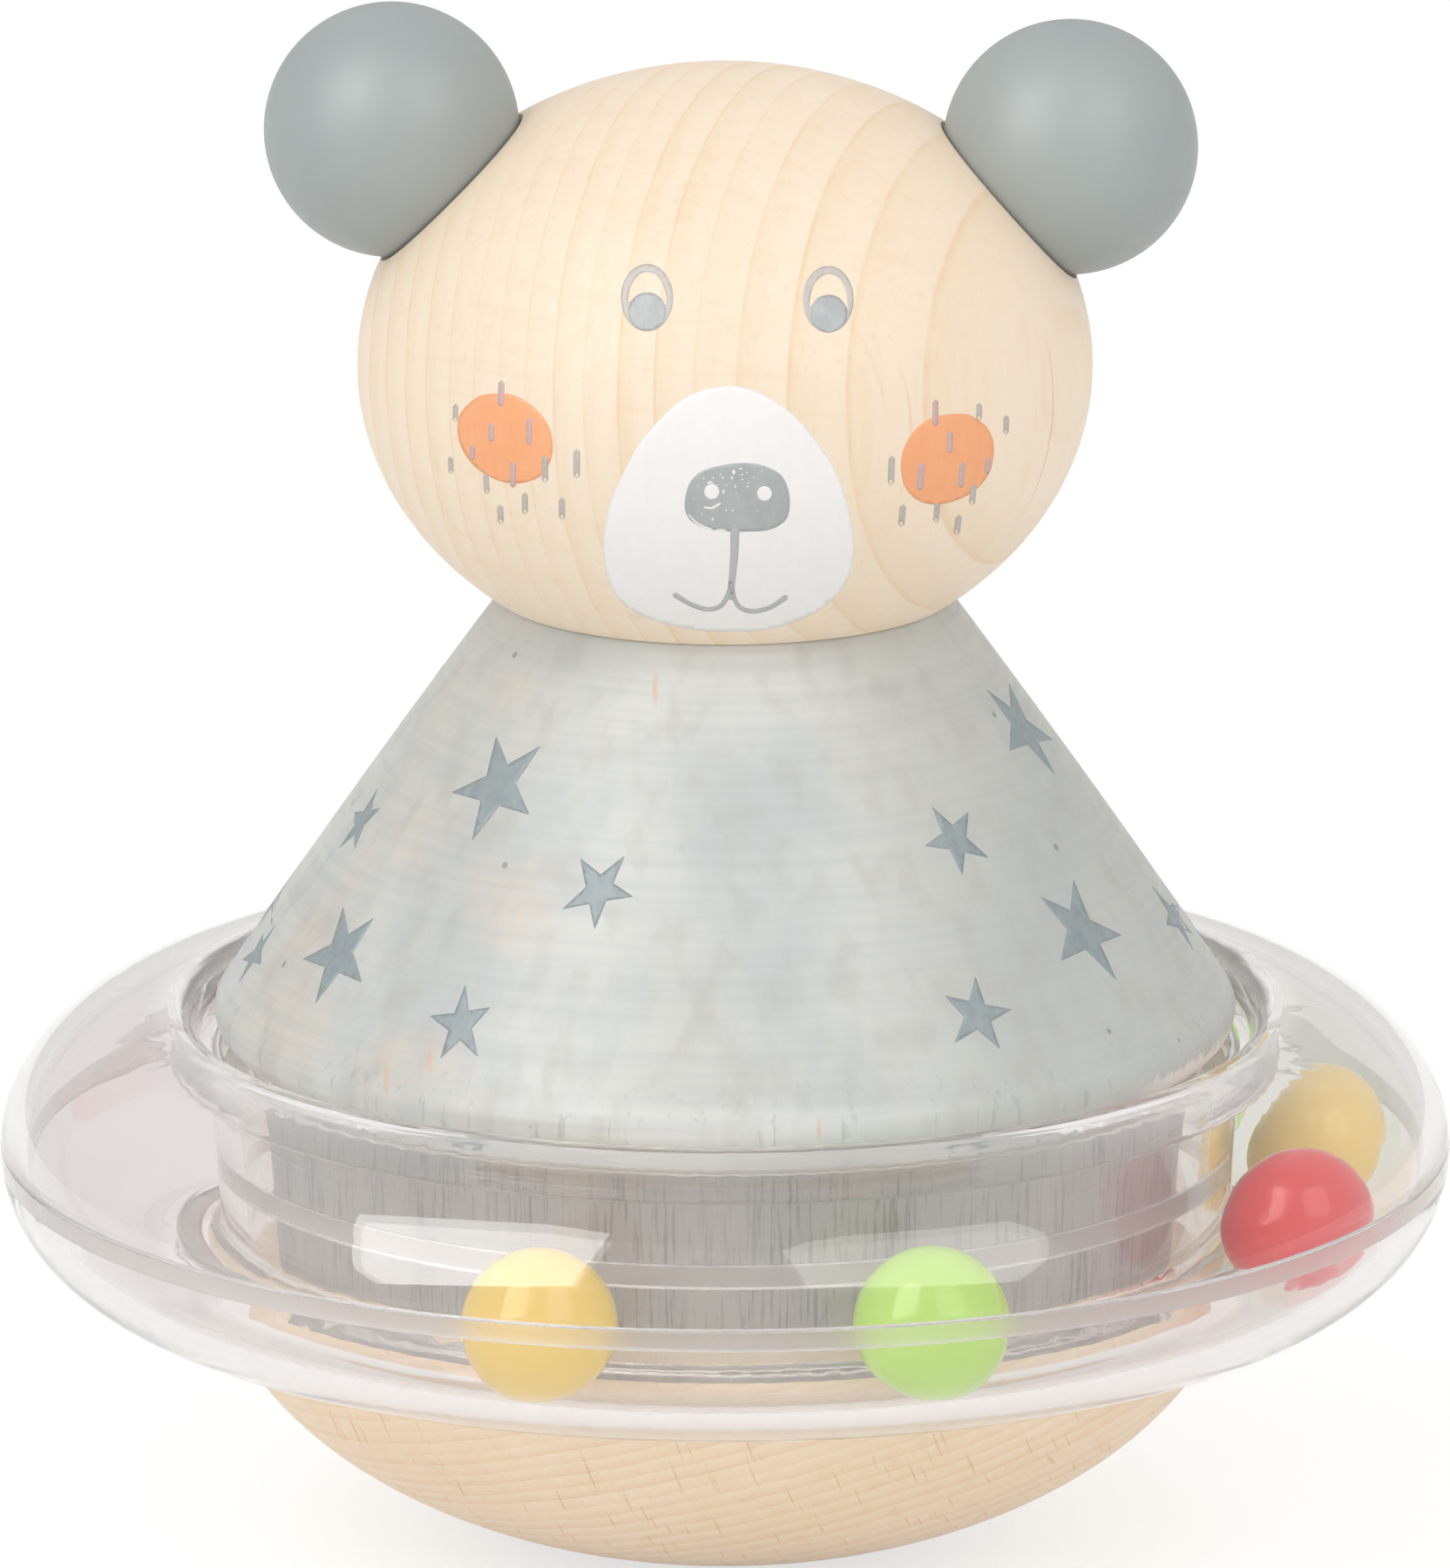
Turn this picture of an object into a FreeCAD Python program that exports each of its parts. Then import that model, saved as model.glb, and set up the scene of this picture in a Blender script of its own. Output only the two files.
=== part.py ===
import FreeCAD, Part
import math
import os

import Sketcher

# A wooden roly-poly figure with a clear ring of loose beads round its waist.
# All lengths are millimetres and all angles degrees. The figure stands on z = 0 with its
# axis on Z, and its face looks along -Y. Left and right are as the viewer sees them.

SIZES = {
    # Domed base
    "dome_radius": 39.3,
    "dome_height": 23.85,
    "base_height": 22.75,
    "foot_radius": 3.0,
    "base_edge_round": 0.6,
    # Iron weight, a thick washer at the bottom of a pocket in the base
    "weight_radius": 20.0,
    "weight_thickness": 10.0,
    "weight_pocket_depth": 15.0,
    "weight_clearance": 0.3,
    "weight_bevel": 0.6,
    # Long dowel that joins the base and the body through the weight
    "body_dowel_radius": 5.0,
    "body_dowel_in_base": 3.5,
    "body_dowel_in_body": 15.0,
    # Body: a waist that carries the ring, with a cone above it
    "waist_ledge": 5.46,
    "cone_rim_overhang": 1.24,
    "cone_top_radius": 16.85,
    "cone_height": 34.0,
    "cone_bulge_height": 0.25,
    "cone_rim_round": 2.3,
    "cone_top_round": 0.4,
    # Head, a flattened ball with a flat cut for the neck
    "head_radius": 27.45,
    "head_half_height": 22.4,
    "head_slice": 4.85,
    "neck_edge_round": 0.3,
    "neck_dowel_radius": 4.0,
    "neck_dowel_reach": 11.0,
    # Ears, balls sunk into round seats in the head
    "ear_radius": 9.5,
    "ear_offset": 5.0,
    "ear_lift_angle": 34.2,
    "ear_roll_angle": 1.5,
    "ear_seat_gap": 0.3,
    "ear_dowel_radius": 2.5,
    "ear_dowel_in_ear": 9.0,
    "ear_dowel_in_head": 9.0,
    # Fits of the dowels
    "dowel_bevel": 0.5,
    "dowel_clearance": 0.03,
    "dowel_end_gap": 0.4,
    # Clear ring, two shells that meet near its widest line
    "ring_wall": 2.0,
    "ring_bore_clearance": 2.2,
    "ring_recess_depth": 2.6,
    "ring_recess_clearance": 0.35,
    "ring_lip_width": 2.49,
    "ring_crown_flat": 0.3,
    "ring_end_play": 0.1,
    "channel_side_clearance": 3.5,
    "channel_top_clearance": 0.55,
    "ring_bore_round": 0.5,
    "ring_step_round": 0.5,
    "ring_corner_round": 0.9,
    "parting_rise": 0.55,
    "tongue_height": 1.6,
    "glue_gap": 0.05,
    # Loose beads. The first one's step is from the front, each other's from the bead before it
    "bead_radius": 5.65,
    "bead_clearance": 0.1,
    "bead_seat_angle": 37.0,
    "yellow_bead_front_step_angle": -17.0,
    "green_bead_front_step_angle": 36.0,
    "red_bead_side_step_angle": 49.0,
    "yellow_bead_side_step_angle": 31.0,
    "green_bead_back_step_angle": 33.0,
    "red_bead_back_step_angle": 73.0,
}

# In the order in which they lie in the channel, as seen from above
BEADS = [
    "yellow_bead_front",
    "green_bead_front",
    "red_bead_side",
    "yellow_bead_side",
    "green_bead_back",
    "red_bead_back",
]

SHEET = "Sizes"
TOUCH = 0.01
FULL_TURN = 360
QUARTER_TURN = 90
SIDEWAYS = FreeCAD.Vector(0, 1, 0)
UPRIGHT = FreeCAD.Vector(0, 0, 1)


class Size:
    """A number together with the sheet formula that gives it."""

    def __init__(self, value, formula):
        self.value = value
        self.formula = formula

    def __add__(self, other):
        other = as_size(other)
        return Size(self.value + other.value, "(%s + %s)" % (self.formula, other.formula))

    def __sub__(self, other):
        other = as_size(other)
        return Size(self.value - other.value, "(%s - %s)" % (self.formula, other.formula))

    def __mul__(self, other):
        other = as_size(other)
        return Size(self.value * other.value, "(%s * %s)" % (self.formula, other.formula))

    def __truediv__(self, other):
        other = as_size(other)
        return Size(self.value / other.value, "(%s / %s)" % (self.formula, other.formula))

    def __neg__(self):
        return Size(-self.value, "(0 - %s)" % self.formula)


def as_size(number):
    return number if isinstance(number, Size) else Size(number, repr(number))


def size(name):
    return Size(SIZES[name], "%s.%s" % (SHEET, name))


def root(number):
    return Size(math.sqrt(number.value), "sqrt(%s)" % number.formula)


def sine(angle):
    return Size(math.sin(math.radians(angle.value)), "sin(%s)" % angle.formula)


def cosine(angle):
    return Size(math.cos(math.radians(angle.value)), "cos(%s)" % angle.formula)


def larger(one, other):
    return Size(max(one.value, other.value), "max(%s; %s)" % (one.formula, other.formula))


ZERO = as_size(0)


def make_sheet(doc):
    """Writes every driving size into the sheet, one row each."""
    sheet = doc.addObject("Spreadsheet::Sheet", SHEET)
    for row, (name, number) in enumerate(SIZES.items(), 1):
        sheet.set("A%d" % row, name)
        sheet.set("B%d" % row, repr(number))
        sheet.setAlias("B%d" % row, name)
    doc.recompute()


def oval_reach(across, along, offset):
    """How far an oval reaches across its axis at an offset along that axis."""
    share = offset / along
    return across * root(as_size(1) - share * share)


# Derived places


def dome_rim():
    """Radius of the base at its flat top."""
    return oval_reach(size("dome_radius"), size("dome_height"), size("dome_height") - size("base_height"))


def foot_level():
    """How high the dome would be at the edge of its sanded foot."""
    reach = oval_reach(size("dome_height"), size("dome_radius"), size("foot_radius"))
    return size("dome_height") - reach


def body_bottom():
    return size("base_height") - foot_level()


def ring_floor():
    """Half the height of the ring where it lies between the base and the cone."""
    return size("bead_radius") + size("channel_top_clearance") + size("ring_wall")


def waist_height():
    return (ring_floor() + size("ring_end_play")) * 2


def waist_radius():
    return dome_rim() - size("waist_ledge")


def cone_rim_radius():
    """Radius of the cone's lower edge before it is rounded."""
    return dome_rim() + size("cone_rim_overhang")


def cone_bottom():
    return body_bottom() + waist_height()


def neck_level():
    return cone_bottom() + size("cone_height")


def head_cut_depth():
    """How far below the head's centre its flat neck lies."""
    return size("head_half_height") - size("head_slice")


def head_centre():
    return neck_level() + head_cut_depth()


def weight_floor():
    return body_bottom() - size("weight_pocket_depth")


def ring_middle():
    return body_bottom() + waist_height() / 2


def ring_bore():
    return waist_radius() + size("ring_bore_clearance")


def ring_recess():
    """Radius of the recesses that the base's rim and the cone's lower edge lie in."""
    return dome_rim() + size("ring_recess_clearance")


def ring_crown_radius():
    """Radius at which the ring is highest."""
    return ring_recess() + size("ring_lip_width") + size("ring_crown_flat")


def ring_crown():
    """Half the height of the ring at its crowns."""
    return ring_floor() + size("ring_recess_depth")


def ring_radius():
    channel_width = size("bead_radius") * 2 + size("channel_side_clearance")
    return ring_bore() + size("ring_wall") * 2 + channel_width


def bead_place():
    """Radius and height of the beads' orbit. Each lies against the channel's outer wall, clear of
    the rounded step inside it."""
    across = ring_radius() - ring_crown_radius() - size("ring_wall")
    along = ring_crown() - size("ring_wall")
    sin_seat = sine(size("bead_seat_angle"))
    cos_seat = cosine(size("bead_seat_angle"))
    slope_in = along * sin_seat
    slope_up = across * cos_seat
    slope = root(slope_in * slope_in + slope_up * slope_up)
    lift = size("bead_radius") + size("bead_clearance")
    orbit = ring_crown_radius() + across * sin_seat - lift * slope_in / slope
    wall_level = lift * slope_up / slope - along * cos_seat
    step_round = size("ring_step_round")
    reach = lift + step_round
    beside = orbit - ring_recess() - size("ring_wall") + step_round
    above = root(larger(reach * reach - beside * beside, ZERO))
    step_level = above - ring_floor() + size("ring_wall") - step_round
    return orbit, ring_middle() + larger(wall_level, step_level)


def bead_azimuth(name):
    """How far round the ring a bead lies, anticlockwise from the front."""
    azimuth = ZERO
    for bead in BEADS[: BEADS.index(name) + 1]:
        azimuth = azimuth + size(bead + "_step_angle")
    return azimuth


def ear_distance():
    """How far from the head's centre an ear's centre lies."""
    lift = size("ear_lift_angle")
    share_across = cosine(lift) / size("head_radius")
    share_along = sine(lift) / size("head_half_height")
    surface = as_size(1) / root(share_across * share_across + share_along * share_along)
    return surface + size("ear_offset")


def ear_angle(side):
    """Height angle of an ear as seen from the head's centre. The pair is rolled a little."""
    return size("ear_lift_angle") - size("ear_roll_angle") * side


# Sketches and features


class Outline:
    """A closed sketch whose corners are placed by formulas."""

    def __init__(self, body, name, role="XZ_Plane"):
        self.sketch = body.newObject("Sketcher::SketchObject", name)
        plane = [part for part in body.Origin.OriginFeatures if part.Role == role][0]
        self.sketch.AttachmentSupport = [(plane, "")]
        self.sketch.MapMode = "FlatFace"
        self.first = None
        self.last = None

    def rule(self, *words):
        return self.sketch.addConstraint(Sketcher.Constraint(*words))

    def bind(self, index, number):
        self.sketch.setExpression("Constraints[%d]" % index, number.formula)

    def pin(self, piece, end, x, y, held):
        """Places one end of a piece. held names the directions that are fixed here."""
        for direction, place, axis in (("x", x, -2), ("y", y, -1)):
            if direction not in held:
                continue
            if place is ZERO:
                self.rule("PointOnObject", piece, end, axis)
            else:
                kind = "Distance" + direction.upper()
                self.bind(self.rule(kind, -1, 1, piece, end, place.value), place)

    def start(self, x, y, held="xy"):
        self.corner = (x, y)
        self.begun = (x, y, held)

    def add(self, shape, x, y, held, flipped=False):
        """Adds a piece that runs from the last corner to x, y."""
        piece = self.sketch.addGeometry(shape)
        near, far = (2, 1) if flipped else (1, 2)
        if self.last is None:
            self.first = (piece, near)
            self.pin(piece, near, *self.begun)
        else:
            self.rule("Coincident", self.last[0], self.last[1], piece, near)
        if held is not None:
            self.pin(piece, far, x, y, held)
        self.last = (piece, far)
        self.corner = (x, y)
        return piece

    def point(self, x, y):
        return FreeCAD.Vector(x.value, y.value, 0)

    def line(self, x, y, held="xy"):
        return self.add(Part.LineSegment(self.point(*self.corner), self.point(x, y)), x, y, held)

    def arc(self, x, y, rise):
        """A shallow arc to the left of the way to x, y, with that rise at its middle."""
        start, end = self.point(*self.corner), self.point(x, y)
        along = end - start
        side = FreeCAD.Vector(along.y, -along.x, 0).normalize()
        middle = (start + end) / 2 + side * rise.value
        shape = Part.Arc(start, middle, end)
        run_x = x - self.corner[0]
        run_y = y - self.corner[1]
        chord_square = run_x * run_x + run_y * run_y
        radius = chord_square / (rise * 8) + rise / 2
        piece = self.add(shape, x, y, "xy")
        self.bind(self.rule("Radius", piece, radius.value), radius)

    def oval(self, x, y, centre, across, along, clockwise, held="y"):
        """Part of an oval about a centre, from the last corner to x, y."""
        middle = self.point(*centre)
        wide = FreeCAD.Vector(across.value, 0, 0)
        tall = FreeCAD.Vector(0, along.value, 0)
        lies_flat = across.value >= along.value
        if lies_flat:
            ellipse = Part.Ellipse(middle + wide, middle + tall, middle)
        else:
            ellipse = Part.Ellipse(middle + tall, middle - wide, middle)
        start = ellipse.parameter(self.point(*self.corner))
        end = ellipse.parameter(self.point(x, y))
        if clockwise:
            start, end = end, start
        shape = Part.ArcOfEllipse(ellipse, start, end)
        piece = self.add(shape, x, y, held, flipped=clockwise)
        self.sketch.exposeInternalGeometry(piece)
        major, minor = piece + 1, piece + 2
        if not lies_flat:
            across, along = along, across
        self.pin(piece, 3, *centre, "xy")
        for axis, half in ((major, across), (minor, along)):
            self.bind(self.rule("Distance", axis, 2 * half.value), half * 2)
        self.rule("Horizontal" if lies_flat else "Vertical", major)

    def close(self):
        x, y, _ = self.begun
        self.line(x, y, held=None)
        self.rule("Coincident", self.last[0], self.last[1], *self.first)


def new_body(doc, label):
    body = doc.addObject("PartDesign::Body", label)
    body.Label = label
    return body


def turn(body, outline):
    """Turns a closed outline a full turn about the body's own axis."""
    solid = body.newObject("PartDesign::Revolution", "turned")
    solid.Profile = outline.sketch
    solid.ReferenceAxis = (outline.sketch, ["V_Axis"])
    solid.Angle = FULL_TURN
    body.Document.recompute()


def disc(body, name, radius, level):
    """A circle about the body's axis, at a level above its origin."""
    outline = Outline(body, name, "XY_Plane")
    sketch = outline.sketch
    sketch.setExpression("AttachmentOffset.Base.z", level.formula)
    ring = sketch.addGeometry(Part.Circle(FreeCAD.Vector(), UPRIGHT, radius.value))
    outline.rule("Coincident", ring, 3, -1, 1)
    outline.bind(outline.rule("Radius", ring, radius.value), radius)
    return sketch


def drill(body, name, radius, level, depth, upward):
    """A blind hole on the body's axis, from a level up or down into the solid."""
    before = body.Shape.Volume
    circle = disc(body, name + "_circle", radius, level)
    hole = body.newObject("PartDesign::Pocket", name)
    hole.Profile = circle
    hole.Reversed = upward
    hole.setExpression("Length", depth.formula)
    body.Document.recompute()
    if not body.Shape.Volume < before:
        raise RuntimeError("%s removed nothing from %s" % (name, body.Label))


def rims(body, radius, level):
    """Names of the body's circular edges about its axis with a radius and level."""
    names = []
    for number, edge in enumerate(body.Shape.Edges, 1):
        round_there = abs(edge.Length - 2 * math.pi * radius.value) < TOUCH
        if round_there and abs(edge.Vertexes[0].Z - level.value) < TOUCH:
            names.append("Edge%d" % number)
    return names


def soften(body, name, kind, amount, edges):
    """Rounds or bevels some edges. kind is Fillet or Chamfer."""
    if not edges:
        raise RuntimeError("%s found no edge on %s" % (name, body.Label))
    solid = body.Tip
    feature = body.newObject("PartDesign::" + kind, name)
    feature.Base = (solid, edges)
    feature.setExpression("Radius" if kind == "Fillet" else "Size", amount.formula)
    body.Tip = feature
    body.Document.recompute()


def place(part, x, y, z, angle=ZERO, axis=SIDEWAYS):
    """Places a body or feature, turned by an angle about an axis."""
    part.Placement.Rotation = FreeCAD.Rotation(axis, QUARTER_TURN)
    part.setExpression("Placement.Base.x", x.formula)
    part.setExpression("Placement.Base.y", y.formula)
    part.setExpression("Placement.Base.z", z.formula)
    part.setExpression("Placement.Rotation.Angle", angle.formula)


# Wooden pieces


def make_base(doc):
    """A dome cut flat on top, with a pocket for the weight and a dowel hole below it."""
    body = new_body(doc, "base")
    top = body_bottom()
    outline = Outline(body, "outline")
    outline.start(ZERO, ZERO)
    outline.line(size("foot_radius"), ZERO, held="y")
    centre = (ZERO, size("dome_height") - foot_level())
    outline.oval(dome_rim(), top, centre, size("dome_radius"), size("dome_height"), False)
    outline.line(ZERO, top)
    outline.close()
    turn(body, outline)
    soften(body, "rounded_rim", "Fillet", size("base_edge_round"), rims(body, dome_rim(), top))
    pocket_radius = size("weight_radius") + size("weight_clearance")
    drill(body, "weight_pocket", pocket_radius, top, size("weight_pocket_depth"), False)
    hole_radius = size("body_dowel_radius") + size("dowel_clearance")
    hole_depth = size("body_dowel_in_base") + size("dowel_end_gap")
    drill(body, "dowel_hole", hole_radius, weight_floor(), hole_depth, False)
    return body


def make_weight(doc):
    """The iron washer on the floor of the base's pocket."""
    body = new_body(doc, "ballast_weight")
    circle = disc(body, "slab_circle", size("weight_radius"), weight_floor())
    slab = body.newObject("PartDesign::Pad", "slab")
    slab.Profile = circle
    slab.setExpression("Length", size("weight_thickness").formula)
    doc.recompute()
    soften(body, "bevelled_edges", "Chamfer", size("weight_bevel"), all_rims(body))
    hole_radius = size("body_dowel_radius") + size("weight_clearance")
    drill(body, "dowel_hole", hole_radius, weight_floor(), size("weight_thickness"), True)
    return body


def make_body_cone(doc):
    """The waist and the cone above it, turned in one piece and drilled at both ends."""
    body = new_body(doc, "body_cone")
    bottom, shoulder, top = body_bottom(), cone_bottom(), neck_level()
    outline = Outline(body, "outline")
    outline.start(ZERO, bottom)
    outline.line(waist_radius(), bottom)
    outline.line(waist_radius(), shoulder)
    outline.line(cone_rim_radius(), shoulder)
    outline.arc(size("cone_top_radius"), top, size("cone_bulge_height"))
    outline.line(ZERO, top)
    outline.close()
    turn(body, outline)
    low_rim = rims(body, cone_rim_radius(), shoulder)
    soften(body, "rounded_low_rim", "Fillet", size("cone_rim_round"), low_rim)
    top_rim = rims(body, size("cone_top_radius"), top)
    soften(body, "rounded_top_rim", "Fillet", size("cone_top_round"), top_rim)
    low_radius = size("body_dowel_radius") + size("dowel_clearance")
    low_depth = size("body_dowel_in_body") + size("dowel_end_gap")
    drill(body, "body_dowel_hole", low_radius, bottom, low_depth, True)
    top_radius = size("neck_dowel_radius") + size("dowel_clearance")
    top_depth = size("neck_dowel_reach") + size("dowel_end_gap")
    drill(body, "neck_dowel_hole", top_radius, top, top_depth, False)
    return body


def make_head(doc):
    """A flattened ball with a flat neck, a round seat for each ear and three dowel holes."""
    body = new_body(doc, "head")
    neck = neck_level()
    across, along = size("head_radius"), size("head_half_height")
    neck_radius = oval_reach(across, along, head_cut_depth())
    ball = body.newObject("PartDesign::AdditiveEllipsoid", "ball")
    for name, reach in (("Radius1", along), ("Radius2", across), ("Radius3", across)):
        ball.setExpression(name, reach.formula)
    # Turned so that the ball's seam lies at the back, clear of the ears
    place(ball, ZERO, ZERO, head_centre(), as_size(QUARTER_TURN), UPRIGHT)
    doc.recompute()
    drill(body, "neck_cut", across, neck, along, False)
    soften(body, "rounded_neck", "Fillet", size("neck_edge_round"), rims(body, neck_radius, neck))
    hole_radius = size("neck_dowel_radius") + size("dowel_clearance")
    hole_depth = size("neck_dowel_reach") + size("dowel_end_gap")
    drill(body, "neck_dowel_hole", hole_radius, neck, hole_depth, True)
    for name, side in (("left", -1), ("right", 1)):
        cut_ear_seat(body, name, side)
    return body


def ear_frame(side, distance):
    """Where a point lies on an ear's axis, and the tilt of that axis from upright."""
    angle = ear_angle(side)
    x = cosine(angle) * distance * side
    z = head_centre() + sine(angle) * distance
    tilt = (as_size(QUARTER_TURN) - angle) * side
    return x, ZERO, z, tilt


def cut_ear_seat(body, name, side):
    """A round seat for the ear and the blind hole for its dowel, along the ear's axis."""
    before = body.Shape.Volume
    seat = body.newObject("PartDesign::SubtractiveSphere", name + "_ear_seat")
    seat_radius = size("ear_radius") + size("ear_seat_gap")
    seat.setExpression("Radius", seat_radius.formula)
    place(seat, *ear_frame(side, ear_distance()))
    hole = body.newObject("PartDesign::SubtractiveCylinder", name + "_ear_dowel_hole")
    hole_radius = size("ear_dowel_radius") + size("dowel_clearance")
    depth = size("ear_dowel_in_head") + size("dowel_end_gap")
    hole.setExpression("Radius", hole_radius.formula)
    hole.setExpression("Height", (depth + size("ear_radius")).formula)
    place(hole, *ear_frame(side, ear_distance() - size("ear_radius") - depth))
    body.Document.recompute()
    if not body.Shape.Volume < before:
        raise RuntimeError("the %s ear's seat removed nothing" % name)


def make_ear(doc, name, side):
    """A ball with a blind dowel hole on the side that faces the head."""
    body = new_body(doc, name + "_ear")
    ball = body.newObject("PartDesign::AdditiveSphere", "ball")
    ball.setExpression("Radius", size("ear_radius").formula)
    doc.recompute()
    hole_radius = size("ear_dowel_radius") + size("dowel_clearance")
    hole_depth = size("ear_dowel_in_ear") + size("dowel_end_gap")
    drill(body, "dowel_hole", hole_radius, -size("ear_radius"), hole_depth, True)
    place(body, *ear_frame(side, ear_distance()))
    return body


def all_rims(body):
    """Names of all edges that are full circles."""
    names = []
    for number, edge in enumerate(body.Shape.Edges, 1):
        if edge.isClosed() and isinstance(edge.Curve, Part.Circle):
            names.append("Edge%d" % number)
    return names


def make_dowel(doc, name, radius, low, length, frame=None):
    """A round pin with bevelled ends, from a level up its own axis."""
    body = new_body(doc, name)
    circle = disc(body, "pin_circle", radius, low)
    pin = body.newObject("PartDesign::Pad", "pin")
    pin.Profile = circle
    pin.setExpression("Length", length.formula)
    doc.recompute()
    soften(body, "bevelled_ends", "Chamfer", size("dowel_bevel"), all_rims(body))
    if frame:
        place(body, *frame)
    return body


def make_dowels(doc):
    """The pins that hold the head, the ears and the base."""
    body_low = weight_floor() - size("body_dowel_in_base")
    body_length = body_bottom() + size("body_dowel_in_body") - body_low
    pins = [make_dowel(doc, "body_dowel", size("body_dowel_radius"), body_low, body_length)]
    reach = size("neck_dowel_reach")
    neck_low = neck_level() - reach
    pins.append(make_dowel(doc, "neck_dowel", size("neck_dowel_radius"), neck_low, reach * 2))
    ear_low = -size("ear_radius") - size("ear_dowel_in_head")
    ear_length = size("ear_dowel_in_ear") + size("ear_dowel_in_head")
    for name, side in (("left", -1), ("right", 1)):
        frame = ear_frame(side, ear_distance())
        label = name + "_ear_dowel"
        pins.append(make_dowel(doc, label, size("ear_dowel_radius"), ear_low, ear_length, frame))
    return pins


# Clear ring


def make_shell(doc, label, side):
    """One shell of the ring. side is 1 for the upper shell, which has the tongues, or -1."""
    body = new_body(doc, label)
    wall, bore = size("ring_wall"), ring_bore()
    crown_radius = ring_crown_radius()
    shoulder_radius = crown_radius - size("ring_crown_flat")
    recess = ring_recess()
    middle = ring_middle()
    gap = size("glue_gap") if side < 0 else ZERO
    parting = middle + size("parting_rise") - gap
    tongue_end = parting - size("tongue_height")
    inner_step = bore + wall / 2 - gap
    outer_step = ring_radius() - wall / 2 + gap
    across = ring_radius() - crown_radius
    crown = middle + ring_crown() * side
    crown_inside = middle + (ring_crown() - wall) * side
    floor = middle + ring_floor() * side
    floor_inside = middle + (ring_floor() - wall) * side
    upper = side > 0

    outline = Outline(body, "outline")
    rim = crown_radius + oval_reach(across, ring_crown(), parting - middle)
    outline.start(rim, parting, held="y")
    outline.oval(crown_radius, crown, (crown_radius, middle), across, ring_crown(), not upper, held="x")
    outline.line(shoulder_radius, crown, held="x")
    lip = (shoulder_radius, floor)
    lip_width, lip_height = size("ring_lip_width"), size("ring_recess_depth")
    outline.oval(recess, floor, lip, lip_width, lip_height, not upper)
    outline.line(bore, floor)
    outline.line(bore, parting)
    outline.line(inner_step, parting)
    outline.line(inner_step, tongue_end)
    outline.line(bore + wall, tongue_end)
    outline.line(bore + wall, floor_inside)
    outline.line(recess + wall, floor_inside)
    outline.line(recess + wall, crown_inside)
    outline.line(crown_radius, crown_inside, held="x")
    inside_across, inside_along = across - wall, ring_crown() - wall
    channel = crown_radius + oval_reach(inside_across, inside_along, tongue_end - middle)
    inside = (crown_radius, middle)
    outline.oval(channel, tongue_end, inside, inside_across, inside_along, upper)
    outline.line(outer_step, tongue_end)
    outline.line(outer_step, parting)
    outline.close()
    turn(body, outline)
    soften(body, "rounded_bore", "Fillet", size("ring_bore_round"), rims(body, bore, floor))
    step = rims(body, recess + wall, floor_inside)
    soften(body, "rounded_step", "Fillet", size("ring_step_round"), step)
    corner = rims(body, bore + wall, floor_inside)
    soften(body, "rounded_corner", "Fillet", size("ring_corner_round"), corner)
    return body


def make_bead(doc, name):
    """A loose ball in the ring's channel, at its azimuth from the front."""
    body = new_body(doc, name)
    ball = body.newObject("PartDesign::AdditiveSphere", "ball")
    ball.setExpression("Radius", size("bead_radius").formula)
    orbit, level = bead_place()
    azimuth = bead_azimuth(name)
    place(body, orbit * sine(azimuth), -orbit * cosine(azimuth), level)
    return body


# The whole figure


def check(doc, parts):
    """Stops where an object failed or a part's shape is missing or not valid."""
    for thing in doc.Objects:
        if "Invalid" in thing.State or "Error" in thing.State:
            raise RuntimeError("%s in %s: %s" % (thing.Name, thing.FullName, thing.State))
    for part in parts:
        shape = part.Shape
        if shape.isNull() or not shape.isValid() or len(shape.Solids) != 1:
            raise RuntimeError("%s has no single valid solid" % part.Label)
        if not shape.Volume > 0:
            raise RuntimeError("%s is inside out" % part.Label)


def main():
    doc = FreeCAD.newDocument("roly_poly")
    make_sheet(doc)
    parts = [make_base(doc), make_weight(doc), make_body_cone(doc), make_head(doc)]
    parts += [make_ear(doc, "left", -1), make_ear(doc, "right", 1)]
    parts += make_dowels(doc)
    parts += [make_shell(doc, "ring_upper_shell", 1), make_shell(doc, "ring_lower_shell", -1)]
    parts += [make_bead(doc, name) for name in BEADS]
    doc.recompute()
    check(doc, parts)
    os.makedirs("parts", exist_ok=True)
    for part in parts:
        part.Shape.exportStep(os.path.join("parts", part.Label + ".step"))
        print("%-20s %10.1f mm3" % (part.Label, part.Shape.Volume))


main()
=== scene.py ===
"""Looks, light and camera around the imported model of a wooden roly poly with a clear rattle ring."""

import math

import bpy
from mathutils import Matrix, Vector
from mathutils.bvhtree import BVHTree
from mathutils.geometry import delaunay_2d_cdt


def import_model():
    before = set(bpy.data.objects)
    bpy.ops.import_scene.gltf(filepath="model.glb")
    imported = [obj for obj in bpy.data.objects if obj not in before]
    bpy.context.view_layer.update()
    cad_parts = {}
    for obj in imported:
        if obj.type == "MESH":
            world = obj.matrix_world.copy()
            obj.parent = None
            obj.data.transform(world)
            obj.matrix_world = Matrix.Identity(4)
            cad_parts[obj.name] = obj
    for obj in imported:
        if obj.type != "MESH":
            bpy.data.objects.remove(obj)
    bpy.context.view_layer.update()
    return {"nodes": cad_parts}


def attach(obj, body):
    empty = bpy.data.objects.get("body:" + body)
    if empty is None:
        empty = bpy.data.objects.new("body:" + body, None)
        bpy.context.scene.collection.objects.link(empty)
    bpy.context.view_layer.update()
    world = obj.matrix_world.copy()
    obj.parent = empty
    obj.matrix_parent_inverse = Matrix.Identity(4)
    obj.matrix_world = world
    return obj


MM = 0.001

# The camera, fitted to the photograph, and its image size.
IMAGE_WIDTH = 1664
IMAGE_HEIGHT = 1800
FOCAL_PIXELS = 15259
EYE = Vector((0.0, -0.9707, 0.2987))
LOOK_AT = Vector((0.0, 0.0, 0.0585))
SENSOR_MM = 36.0

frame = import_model()
NODES = frame["nodes"]


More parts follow.
